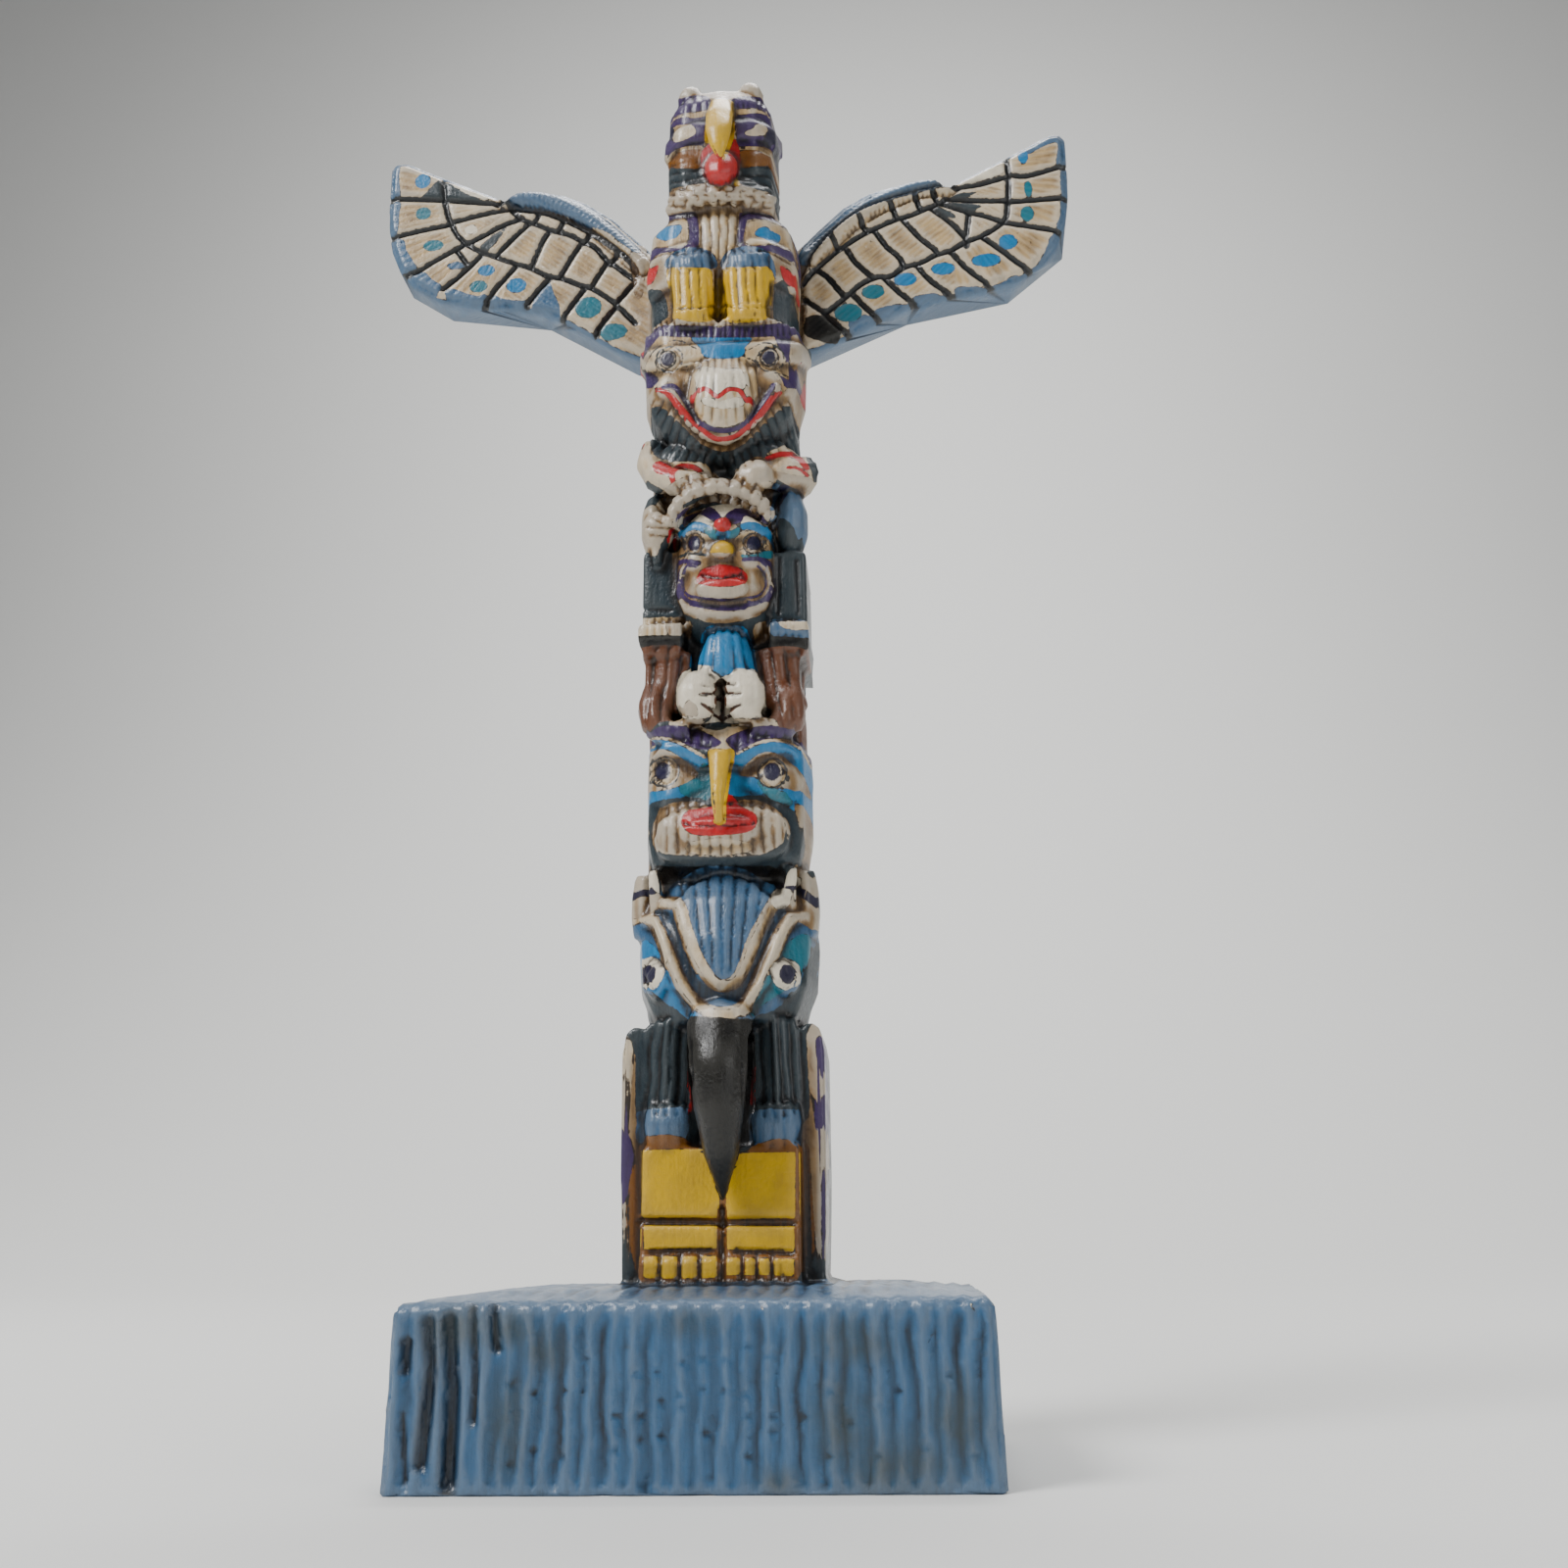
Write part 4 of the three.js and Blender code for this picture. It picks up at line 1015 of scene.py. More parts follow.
# %% Paint the pillars beside the small face
def paint_pillars(work):
    work.areas("small_face", [
        ("slate", [(66, 690), (275, 690), (290, 1155), (70, 1155)]),
        ("slate", [(908, 735), (1115, 735), (1115, 1165), (905, 1165)]),
        ("cream", block_left),
        ("beige", [(250, 1158), (368, 1155), (366, 1250), (255, 1252)]),
        ("blue", block_right),
        ("cream", [(940, 1172), (1110, 1175), (1110, 1215), (1030, 1222), (960, 1205)]),
        ("beige", [(780, 1200), (850, 1170), (860, 1240), (790, 1290)]),
        # The two black bands below the blocks are painted shade in the gap under them
        ("black", [(60, 1262), (370, 1262), (380, 1320), (85, 1330)]),
        ("black", [(790, 1300), (850, 1262), (1110, 1280), (1105, 1345), (800, 1340)]),
    ])


# %% Paint the long-nosed face and the fists above it
def paint_long_nosed_face(work):
    work.each("brown", "long_nose", brown_arms)
    work.area("sky", "small_face", cone)
    work.areas("long_nose", [
        ("cream", [
            (320, 560), (580, 550), (860, 555), (925, 610), (700, 640), (620, 700), (650, 770), (505, 760),
            (555, 690), (400, 615), (260, 600),
        ]),
        ("beige", [(330, 575), (460, 560), (450, 600), (350, 605)]),
        ("beige", [(660, 580), (850, 565), (890, 600), (700, 612)]),
    ])
    work.each("white", "long_nose", fists)
    work.area("beige", "long_nose", [(330, 480), (380, 430), (440, 470), (450, 555), (350, 560)], grow=-0.5)
    for line in (
        [(578, 330), (572, 540)], [(455, 410), (575, 408), (690, 405)], [(565, 350), (655, 345)],
        [(455, 470), (560, 525)], [(690, 480), (590, 525)],
    ):
        work.stripe("brown", "long_nose", line, 0.42)
    work.dab("slate", "long_nose", (548, 592), 2.3, 1.2)
    work.areas("long_nose", [
        ("sky", [
            (66, 760), (200, 690), (400, 760), (500, 800), (660, 790), (850, 700), (1000, 720), (1115, 810),
            (1118, 1180), (1000, 1120), (850, 1040), (660, 1040), (500, 1060), (300, 1050), (130, 1090),
            (60, 1120),
        ]),
        ("teal", [(330, 960), (430, 905), (470, 830), (505, 900), (505, 1060), (340, 1030)]),
        ("teal", [(790, 930), (860, 970), (960, 1020), (1000, 1100), (860, 1040)]),
        ("beige", [(60, 1125), (130, 1095), (110, 1250), (150, 1440), (95, 1450), (70, 1280)]),
        ("beige", [(1020, 1090), (1112, 1180), (1105, 1500), (1030, 1500), (1060, 1300)]),
        ("slate", [
            (110, 1150), (250, 1060), (430, 1050), (560, 1090), (690, 1040), (850, 1050), (990, 1130),
            (1050, 1260), (1030, 1420), (850, 1470), (560, 1470), (220, 1470), (130, 1400), (95, 1270),
        ]),
        ("beige", cheek_field),
        ("cream", [(370, 1330), (560, 1300), (760, 1330), (740, 1385), (560, 1400), (390, 1390)]),
    ])
    work.stripes("long_nose", [
        ("cream", 0.5, [(100, 705), (180, 682), (300, 700), (400, 755), (480, 800)]),
        ("cream", 0.5, [(680, 775), (800, 715), (900, 695), (1010, 718), (1092, 790)]),
    ])
    work.area("cream", "long_nose", [(556, 690), (620, 690), (655, 765), (505, 765)])
    work.each("purple", "long_nose", long_brows)
    for socket, pupil, ring, half in (
        (
            [
                (92, 900), (120, 790), (220, 752), (310, 790), (435, 900), (340, 965), (240, 1002),
                (130, 1000),
            ],
            (222, 885), (232, 888), (1.15, 1.45)
        ),
        (
            [
                (692, 905), (780, 800), (870, 768), (960, 800), (1050, 900), (1085, 1002), (960, 992),
                (850, 955), (780, 922),
            ],
            (890, 890), (892, 896), (1.35, 1.5)
        ),
    ):
        work.area("beige", "long_nose", socket)
        work.dab("slate", "long_nose", ring, 2.45, 2.6)
        work.dab("cream", "long_nose", ring, 2.15, 2.3)
        work.dab("slate", "long_nose", pupil, half[0] + 0.55, half[1] + 0.55)
        work.dab("cream", "long_nose", pupil, half[0] + 0.35, half[1] + 0.35)
        work.dab("navy", "long_nose", pupil, *half)
    work.areas("long_nose", [
        ("red", [
            (332, 1205), (370, 1130), (530, 1100), (620, 1030), (665, 1055), (700, 1100), (790, 1150),
            (795, 1215), (740, 1262), (560, 1282), (400, 1275),
        ]),
        ("yellow", [
            (508, 765), (580, 748), (655, 765), (640, 900), (612, 1080), (608, 1200), (575, 1218),
            (545, 1205), (538, 1080), (518, 900),
        ]),
    ])


# %% Paint the raven's head
def paint_raven(work):
    work.coat("slate", work.drawing.box(-20, 20, 25, 85))
    work.areas("raven", [
        ("blue", [
            (150, 520), (330, 330), (500, 130), (900, 130), (1060, 300), (1280, 520), (1240, 800),
            (1160, 960), (1000, 1060), (860, 1090), (560, 1085), (330, 1000), (200, 860),
        ]),
        ("sky", [
            (190, 640), (240, 600), (330, 680), (400, 850), (480, 980), (560, 1070), (480, 1080),
            (330, 960), (220, 850),
        ]),
        ("teal", [
            (1060, 650), (1200, 560), (1215, 640), (1180, 800), (1100, 900), (980, 980), (860, 1070),
            (850, 1000), (960, 850),
        ]),
        ("slate", [(180, 820), (260, 920), (400, 1010), (480, 1090), (400, 1190), (250, 1060)]),
        ("slate", [
            (1260, 560), (1240, 800), (1150, 1000), (900, 1190), (860, 1090), (1050, 1010), (1180, 820),
            (1220, 640),
        ]),
        ("blue", dome),
        ("black", [
            (290, 150), (560, 110), (900, 110), (1090, 200), (1000, 250), (850, 165), (700, 140),
            (560, 158), (440, 225), (330, 230),
        ]),
    ])
    band = [
        (300, 372), (380, 370), (440, 385), (470, 490), (520, 640), (580, 760), (640, 850), (710, 880),
        (790, 850), (850, 740), (890, 620), (960, 480), (1030, 360), (1070, 320),
    ]
    outer = [
        (165, 450), (250, 455), (310, 530), (370, 660), (430, 810), (500, 930), (580, 1010), (640, 1045),
        (760, 1045), (840, 1000), (900, 890), (960, 760), (1040, 590), (1110, 480), (1180, 440),
    ]
    work.stripes("raven", [
        ("beige", 2.0, outer),
        ("cream", 1.35, [(x + 8, y + 6) for x, y in outer]),
        ("beige", 2.0, band),
        ("cream", 1.45, [(x + 10, y) for x, y in band]),
    ])
    for eye, pupil in (
        (
            [
                (218, 790), (240, 715), (290, 705), (345, 750), (350, 800), (320, 870), (285, 905),
                (240, 870),
            ],
            (263, 810)
        ),
        (
            [
                (998, 780), (1025, 725), (1085, 710), (1150, 740), (1165, 800), (1140, 880), (1090, 905),
                (1030, 870),
            ],
            (1097, 810)
        ),
    ):
        work.area("white", "raven", eye)
        work.dab("navy", "raven", pupil, 1.0, 1.45)
    for horn in (
        [(100, 260), (180, 170), (270, 140), (330, 240), (320, 380), (230, 450), (140, 440), (110, 350)],
        [
            (1080, 240), (1150, 160), (1240, 190), (1320, 350), (1310, 440), (1240, 520), (1110, 440),
            (1080, 330),
        ],
    ):
        work.area("beige", "raven", horn)
    work.stripes("raven", [
        ("navy", 1.1, [(115, 340), (190, 300), (280, 300)]),
        ("navy", 1.3, [(1060, 265), (1150, 275), (1240, 330), (1312, 390)]),
    ])
    work.areas("raven", [
        ("white", [(235, 180), (270, 138), (330, 260), (318, 312), (270, 270)]),
        ("white", [(1080, 235), (1130, 162), (1190, 180), (1180, 235), (1150, 262), (1085, 262)]),
        ("white", [(1010, 320), (1050, 280), (1130, 290), (1130, 340), (1100, 400), (1020, 400)]),
    ])


# %% Paint the raven's legs, feet and beak
# The red between the legs and the beak lies deep, so it is painted further back
LEG_RIM_TO = 14


def paint_legs(work):
    work.area("slate", "feet", [(95, 130), (180, 130), (180, 560), (130, 700), (60, 620), (60, 400)])
    work.area(
        "red", "feet", [(410, 340), (470, 360), (465, 480), (440, 560), (405, 570), (415, 470)],
        back_to=LEG_RIM_TO
    )
    work.area(
        "red", "feet", [(690, 360), (735, 320), (725, 420), (715, 520), (690, 520), (665, 430)],
        back_to=LEG_RIM_TO
    )
    for side in (
        [
            (85, 190), (130, 230), (140, 330), (135, 500), (150, 700), (160, 1000), (165, 1300), (95, 1300),
            (60, 700), (60, 400),
        ],
        [
            (1000, 160), (1060, 110), (1085, 400), (1095, 800), (1085, 1330), (960, 1330), (965, 700),
            (1010, 560), (1000, 300),
        ],
    ):
        work.area("beige", "feet", side)
    work.areas("feet", [
        ("cream", [(95, 200), (128, 240), (120, 330), (135, 480), (95, 420), (80, 380)]),
        ("purple", [(62, 650), (110, 690), (135, 800), (120, 950), (62, 1010)]),
        ("purple", [(1040, 200), (1085, 200), (1080, 400), (1050, 330)]),
        ("purple", [(1035, 500), (1080, 480), (1085, 620), (1040, 660)]),
        ("purple", [(1068, 900), (1095, 900), (1095, 1400), (1075, 1400)]),
        ("amber", [(955, 740), (1010, 760), (1020, 1000), (1040, 1320), (950, 1340)]),
        ("slate", [(85, 1300), (168, 1305), (170, 1420), (90, 1420)]),
        ("slate", [(945, 1340), (1030, 1320), (1090, 1300), (1090, 1420), (945, 1420)]),
    ])
    work.each("blue", "feet", cuffs)
    work.area("amber", "feet", raven_feet, grow=0.35)
    for toe_block in (
        [(165, 752), (480, 745), (560, 1000), (556, 1092), (168, 1092)],
        [(636, 765), (940, 762), (938, 1095), (590, 1100), (590, 1000)],
        [(180, 1125), (550, 1122), (550, 1245), (180, 1250)],
        [(592, 1125), (935, 1130), (935, 1262), (592, 1250)],
        [(180, 1282), (256, 1282), (252, 1395), (178, 1395)],
        [(266, 1282), (352, 1282), (348, 1395), (264, 1395)],
        [(368, 1282), (450, 1282), (448, 1395), (366, 1395)],
        [(468, 1280), (552, 1280), (550, 1390), (466, 1395)],
        [(592, 1288), (664, 1290), (662, 1378), (594, 1378)],
        [(682, 1290), (736, 1290), (738, 1378), (680, 1378)],
        [(750, 1292), (812, 1292), (814, 1378), (752, 1378)],
        [(828, 1292), (935, 1296), (932, 1385), (830, 1380)],
    ):
        work.coat("yellow", work.drawing.within(seen("feet", toe_block), smooth=False))
    work.area("black", "feet", [
        (420, 100), (500, 88), (620, 95), (725, 120), (715, 300), (700, 520), (664, 750), (612, 890),
        (583, 1000), (555, 960), (500, 760), (450, 520), (410, 280),
    ])


# %% The feathers of the two wings
RIGHT_WING_SHARE = 0.965
RIGHT_WING_DROP = 3.0
DROP_FROM, DROP_OVER = 19, 15


def wing_place(side, place):
    """A place on the left wing, or its match on the right wing, which is shorter and lower."""
    x, z = place
    if side < 0:
        return (x, z)
    outer_share = min(1, max(0, (abs(x) - DROP_FROM) / DROP_OVER))
    return (-x * RIGHT_WING_SHARE, z - RIGHT_WING_DROP * outer_share)


WING_OUTLINE = [
    (-68.2, 237), (-67, 238.4), (-64.8, 238.3), (-57.2, 234.3), (-45.4, 228.4), (-43.8, 227.8), (-42, 229),
    (-39.3, 229.7), (-33.4, 228.7), (-28.2, 226.2), (-22.7, 222), (-17.4, 216.2), (-12.2, 210.8), (-8, 207),
    (-8, 192), (-12.4, 188.6), (-17.2, 189.9), (-22.2, 192.4), (-26.8, 195.7), (-31.2, 198.7),
    (-35.9, 201.2), (-41.8, 202.5), (-48.9, 203.4), (-56.4, 205.2), (-61.8, 208.8), (-64.8, 212.6),
    (-66.9, 217.8), (-67.9, 224),
]
BAND_RAIL = [
    (-43.6, 226), (-40.4, 226), (-36.3, 225.4), (-31.5, 223.2), (-27.1, 220.1), (-22.6, 215.7),
    (-16.4, 208.9),
]
FEATHER_LINES = {
    "left_feathers": [
        [(90, 430), (200, 432), (370, 438), (520, 448), (690, 458)],
        [(85, 632), (130, 630), (250, 602), (400, 570), (430, 560)],
        [(445, 550), (560, 520), (690, 492), (770, 480)],
        [(145, 832), (230, 822), (330, 762), (460, 692), (500, 665)],
        [(375, 910), (440, 860), (520, 790), (575, 735)],
        [(590, 1005), (640, 930), (700, 860), (770, 785)],
        [(820, 1000), (880, 920), (945, 855)],
        [(1000, 1085), (1060, 1000), (1135, 905)],
        [(1190, 1150), (1220, 1100), (1300, 1005)],
        [
            (375, 338), (385, 440), (405, 530), (450, 620), (500, 670), (570, 708), (680, 748), (760, 775),
            (850, 802), (930, 840), (1010, 855), (1100, 888), (1180, 912), (1290, 985), (1400, 1095),
        ],
        [(510, 670), (600, 622), (700, 570), (800, 535)],
        [(655, 735), (700, 690), (780, 612), (835, 562)],
        [
            (705, 445), (760, 482), (820, 492), (900, 502), (1000, 533), (1150, 602), (1270, 682),
            (1370, 765), (1405, 830),
        ],
        [
            (745, 495), (800, 540), (880, 568), (960, 600), (1050, 622), (1130, 662), (1190, 692),
            (1250, 760), (1300, 792), (1395, 862),
        ],
        [(892, 500), (862, 562)], [(1022, 545), (992, 602)],
        [(1162, 610), (1132, 668)], [(1312, 712), (1272, 782)],
        [(945, 600), (900, 670), (850, 790)],
        [(1112, 668), (1070, 730), (1000, 845)],
        [(1252, 770), (1210, 830), (1165, 905)],
        [(1392, 880), (1350, 930), (1300, 985)],
        [(445, 700), (500, 775)],
    ],
    "right_feathers": [
        [
            (165, 790), (230, 695), (300, 605), (400, 512), (500, 455), (620, 412), (740, 377), (860, 350),
            (945, 343),
        ],
        [
            (195, 820), (260, 752), (330, 692), (380, 652), (480, 588), (560, 548), (660, 505), (740, 482),
            (830, 442), (900, 415),
        ],
        [(332, 600), (372, 660)], [(475, 500), (510, 572)], [(630, 428), (662, 502)],
        [(752, 385), (780, 458)], [(838, 362), (862, 420)],
        [(250, 755), (310, 790), (372, 860), (405, 895)],
        [(402, 645), (460, 725), (540, 795)],
        [(552, 562), (610, 640), (680, 702), (690, 745)],
        [(692, 508), (780, 600), (850, 655), (870, 680)],
        [(835, 452), (930, 520), (1005, 600), (1010, 640)],
        [
            (200, 905), (300, 965), (360, 930), (405, 895), (480, 832), (560, 795), (630, 790), (700, 745),
            (780, 722), (860, 682), (930, 662), (1000, 622), (1080, 590), (1150, 552), (1205, 500),
            (1218, 400), (1220, 300), (1210, 195),
        ],
        [(1222, 282), (1300, 290), (1400, 265), (1510, 232)],
        [(1215, 418), (1330, 410), (1515, 395)],
        [(1020, 470), (1110, 490), (1200, 520), (1330, 540), (1500, 568)],
        [(1090, 595), (1200, 670), (1280, 730), (1360, 775)],
        [(930, 665), (1000, 740), (1080, 802), (1150, 852)],
        [(765, 740), (840, 820), (950, 890)],
        [(600, 800), (680, 875), (750, 925)],
        [(440, 880), (520, 960), (590, 1015)],
        [(290, 965), (370, 1040), (440, 1088)],
        [(940, 350), (1080, 330), (1215, 290)],
        [(900, 402), (1050, 412), (1200, 412)],
        [(870, 422), (940, 445), (1020, 470)],
        [(1022, 480), (1008, 590)],
    ],
}
PLAIN_TIP_FEATHERS = {
    "left_feathers": [
        [(285, 400), (360, 330), (368, 430), (260, 428)],
        [(390, 340), (430, 355), (560, 428), (640, 448), (395, 440)],
        [(570, 690), (640, 630), (720, 580), (640, 690), (600, 705)],
    ],
    "right_feathers": [
        [(900, 405), (960, 380), (1060, 372), (1000, 400)],
        [(890, 430), (990, 425), (1090, 440), (1000, 470)],
        [(850, 440), (930, 470), (960, 500), (900, 490)],
    ],
}
TIP_WHITES = {
    "left_feathers": [
        [(420, 352), (520, 385), (640, 440), (560, 425), (490, 400)],
        [(490, 590), (540, 570), (560, 610), (510, 620)],
    ],
    "right_feathers": [[
        (950, 350), (1020, 300), (1090, 265), (1180, 238), (1192, 275), (1080, 315), (980, 340),
    ]],
}
BLUE_RIMS = {
    "left_feathers": [
        [(95, 250), (135, 240), (150, 262), (143, 320), (150, 400), (140, 425), (92, 428)],
        [(85, 445), (150, 450), (143, 520), (132, 615), (82, 625)],
        [(84, 645), (165, 652), (182, 705), (215, 760), (235, 805), (160, 828), (105, 740)],
        [(170, 845), (270, 822), (320, 862), (375, 905), (300, 950), (220, 925)],
        [(385, 925), (430, 912), (500, 935), (560, 950), (605, 940), (590, 1000), (420, 990)],
        [(640, 945), (700, 965), (800, 975), (830, 962), (810, 1015), (700, 1012), (620, 990)],
        [(850, 1000), (900, 900), (940, 862), (970, 940), (1000, 1010), (985, 1060), (880, 1040)],
    ],
    "right_feathers": [
        [
            (1300, 160), (1400, 105), (1475, 88), (1510, 130), (1512, 225), (1458, 235), (1465, 130),
            (1400, 142), (1310, 188),
        ],
        [(1480, 262), (1515, 245), (1525, 392), (1486, 392)],
        [(1482, 412), (1525, 400), (1524, 545), (1460, 545), (1480, 480)],
        [(1440, 580), (1500, 590), (1475, 670), (1420, 755), (1350, 752), (1400, 670)],
        [(1130, 845), (1260, 780), (1330, 790), (1240, 830), (1150, 870)],
        [(950, 852), (1060, 838), (1130, 850), (1000, 885)],
        [(740, 898), (860, 875), (880, 905), (760, 940)],
        [(545, 965), (680, 928), (730, 950), (600, 1015)],
        [(420, 1020), (500, 985), (560, 1010), (450, 1075)],
    ],
}
BANDS = {
    "left_feathers": [
        (690, 440), (760, 405), (830, 392), (920, 395), (1010, 418), (1130, 455), (1230, 520), (1310, 585),
        (1400, 665), (1430, 710), (1405, 735), (1335, 690), (1265, 635), (1150, 585), (1050, 535),
        (950, 498), (850, 485), (790, 482), (740, 465),
    ],
    "right_feathers": [
        (160, 690), (240, 565), (345, 462), (455, 388), (600, 335), (740, 300), (815, 295), (878, 325),
        (890, 350), (860, 358), (740, 388), (620, 422), (500, 470), (415, 522), (325, 595), (245, 678),
        (205, 730),
    ],
}
ROOTS = {
    "left_feathers": [(1395, 690), (1450, 690), (1440, 900), (1420, 960), (1398, 900), (1390, 760)],
    "right_feathers": [
        (150, 640), (205, 655), (222, 735), (185, 800), (172, 870), (205, 960), (180, 990), (140, 800),
    ],
}
PAD_TOP = 10.5
WING_ROOT = 14.5
WINGS_FROM, WING_FRONTS_TO = 8.4, 12.2
WINGS_LOW = 186
FEATHERS_FAR = 3.0


def on_wing_front(drawing):
    """Whether each point lies on the front of a wing."""
    at_depth = (drawing.y > WINGS_FROM) & (drawing.y < WING_FRONTS_TO)
    return at_depth & (np.abs(drawing.across) > WING_ROOT - 2) & (drawing.z > WINGS_LOW)


def between_feathers(drawing):
    """Distance from the nearest groove between two feathers, in millimetres."""
    nearest = np.full(len(drawing.x), FEATHERS_FAR)
    for view, lines in FEATHER_LINES.items():
        for line in lines:
            away = -drawing.line(seen(view, line, WING_FRONT), 0.0, margin=FEATHERS_FAR)
            nearest = np.minimum(nearest, away)
    return nearest


print("grooves between feathers:", sum(len(lines) for lines in FEATHER_LINES.values()))


# %% Paint the wings
# Further back than the piece reaches, so that a coat goes all round
ALL_ROUND = 60
WING_PAINT_FROM = 11
ROOTS_TO = 12
FRONT_PAINT_TO = 11.9


def paint_wings(work):
    drawing = work.drawing
    wing = np.minimum(drawing.y - WINGS_FROM, np.abs(drawing.across) - WING_PAINT_FROM)
    wing = np.minimum(np.clip(wing, -MARGIN, MARGIN), drawing.z - WINGS_LOW)
    work.coat("blue", wing, back_to=ALL_ROUND)
    gap = between_feathers(drawing)

    def on_front(paint, cover):
        cover = np.minimum(cover, np.minimum((FRONT_PAINT_TO - drawing.y) * 2, wing))
        work.coat(paint, cover, back_to=ALL_ROUND)

    def within(view, outline):
        return drawing.within(seen(view, outline, WING_FRONT))

    for side in (-1, 1):
        edge = drawing.within([wing_place(side, place) for place in WING_OUTLINE], smooth=False)
        on_front("cream", edge - 0.7)
    for view in FEATHER_LINES:
        for paint, outlines in (("slate", PLAIN_TIP_FEATHERS), ("white", TIP_WHITES), ("blue", BLUE_RIMS)):
            for outline in outlines[view]:
                on_front(paint, within(view, outline))
    dots = {
        "left_wing": [
            ((252, 268), 1.6, 1.8, "sky"), ((255, 430), 1.6, 1.5, "teal"), ((305, 590), 2.1, 1.3, "teal"),
            ((420, 690), 1.9, 0.9, "blue"), ((570, 715), 1.7, 1.3, "sky"), ((530, 795), 1.8, 1.4, "teal"),
            ((720, 790), 2.0, 1.7, "sky"), ((1080, 900), 2.6, 2.4, "teal"),
            ((1205, 1020), 2.7, 1.8, "teal"),
        ],
        "right_wing": [
            ((1243, 195), 1.0, 1.7, "sky"), ((1270, 355), 0.8, 2.0, "teal"),
            ((1265, 480), 1.3, 1.8, "teal"),
            ((1170, 620), 1.8, 1.7, "sky"), ((1060, 712), 2.8, 1.5, "sky"), ((845, 755), 2.3, 1.4, "sky"),
            ((655, 808), 2.2, 1.5, "sky"), ((495, 870), 2.2, 1.6, "teal"), ((370, 975), 2.7, 2.0, "teal"),
        ],
    }
    for view, marks in dots.items():
        for place, half_width, half_height, paint in marks:
            centre = seen(view, [place], WING_FRONT)[0]
            on_front(paint, drawing.spot(centre, half_width, half_height))
    on_front("slate", 0.62 - gap)
    for view in FEATHER_LINES:
        root = within(view, ROOTS[view]) + 0.3
        work.coat("beige", np.minimum(root, wing), back_to=ROOTS_TO)
        band = within(view, BANDS[view])
        work.coat("blue", np.minimum(band, wing), back_to=ALL_ROUND)
    knob = [(200, 1010), (260, 985), (340, 1010), (380, 1060), (360, 1110), (260, 1110), (200, 1080)]
    on_front("black", within("right_feathers", knob))


# %% Paint the base
# The white rubs stay on the base's front
RUBS_TO = -26.6


def paint_base(work):
    drawing = work.drawing
    sides = 24.2 + 0.2 * ripple(drawing.x, drawing.y, 21) - drawing.z
    top = np.minimum(25.9 - drawing.z, 4 * (work.upward - 0.62))
    work.coat("blue", np.maximum(sides, top), back_to=ALL_ROUND)
    for rub in (
        [(560, 132), (600, 127)], [(640, 127), (700, 124), (740, 122)], [(780, 122), (830, 121)],
        [(1030, 122), (1050, 128)], [(1225, 122), (1230, 128)], [(1350, 118), (1362, 121)],
        [(1432, 140), (1438, 158)], [(935, 145), (942, 150)], [(560, 600), (620, 602)],
        [(790, 603), (830, 601)],
    ):
        work.stripe("white", "base", rub, 0.3, back_to=RUBS_TO)


# Millimetres on the base's front for one step of its enlarged view
BASE_VIEW_STEP = 0.0575
GRIMED = [
    ((220, 200), 110, 60), ((430, 250), 60, 60), ((360, 200), 70, 50), ((770, 185), 90, 40),
    ((1150, 230), 120, 60), ((1250, 520), 170, 90), ((1130, 420), 90, 120), ((1400, 420), 80, 120),
    ((340, 420), 60, 130), ((980, 560), 60, 40),
]


def grime(drawing):
    """Greyer patches on the base's front, from 0 to 1."""
    patches = np.zeros(len(drawing.x))
    for place, half_width, half_height in GRIMED:
        centre = seen("base", [place])[0]
        wide, high = half_width * BASE_VIEW_STEP, half_height * BASE_VIEW_STEP
        away = np.hypot((drawing.across - centre[0]) / wide, (drawing.up - centre[1]) / high)
        patches = np.maximum(patches, np.clip(1.3 - away, 0, 1))
    return patches * (drawing.z < 25) * (drawing.y < -20)


# %% All the coats in their order
def painted(mesh):
    """The paintwork of a mesh, from the plain slate ground to the last touch."""
    work = Paintwork(mesh)
    work.coats["slate"][:] = 9.0
    for paint_part in (
        paint_raven, paint_legs, paint_pillars, paint_reaching_body, paint_small_face,
        paint_long_nosed_face, paint_grin, paint_top_bird, paint_wings, paint_base,
    ):
        paint_part(work)
    return work


# %% [markdown]
# ## The base, the wings and a lighter mesh
#
# The real base was cut to look like rough wood, with upright grain, pits and worn hollows in its
# front, and the feathers were cut along curved lines. A bump texture could draw both, but grooves
# as deep as these also shade each other and break the edges, so they are pushed into the mesh as
# on the pole. By then the plain places carry far more triangles than they need. A Decimate
# modifier takes them from there first, led by a vertex group, and leaves the carved places and
# the edges of the coats fine.

# %% Carve the base
BASE_FRONT = -28.0
# Pitch, half width and depth of the coarse and of the fine grain, in millimetres
GRAIN = (2.85, 1.05, 0.55)
FINE_GRAIN = (1.42, 0.35, 0.07)
PIT = (0.42, 0.3)
PITS = [
    (750, 278), (850, 270), (905, 240), (955, 265), (640, 305), (475, 345), (400, 350), (590, 405),
    (650, 405), (690, 300), (745, 355), (800, 270), (850, 345), (900, 355), (700, 370), (805, 445),
    (750, 385), (700, 450), (650, 460), (1100, 345), (1215, 380), (1265, 345), (1380, 310), (960, 405),
    (905, 405), (1040, 410), (400, 485), (470, 500), (590, 485), (530, 270), (1100, 500), (1215, 500),
    (905, 500), (960, 440), (800, 340), (1150, 420), (1330, 480), (1440, 500), (345, 330), (345, 520),
]
HOLLOWS = [
    ([(100, 235), (96, 290)], 0.7, 0.8), ([(150, 185), (158, 300), (130, 520)], 0.9, 1.1),
    ([(200, 180), (208, 340), (195, 580)], 0.95, 1.3), ([(255, 150), (262, 300), (255, 420)], 0.5, 0.7),
    ([(305, 150), (312, 245)], 0.6, 0.9), ([(90, 400), (95, 560)], 0.35, 0.5),
]


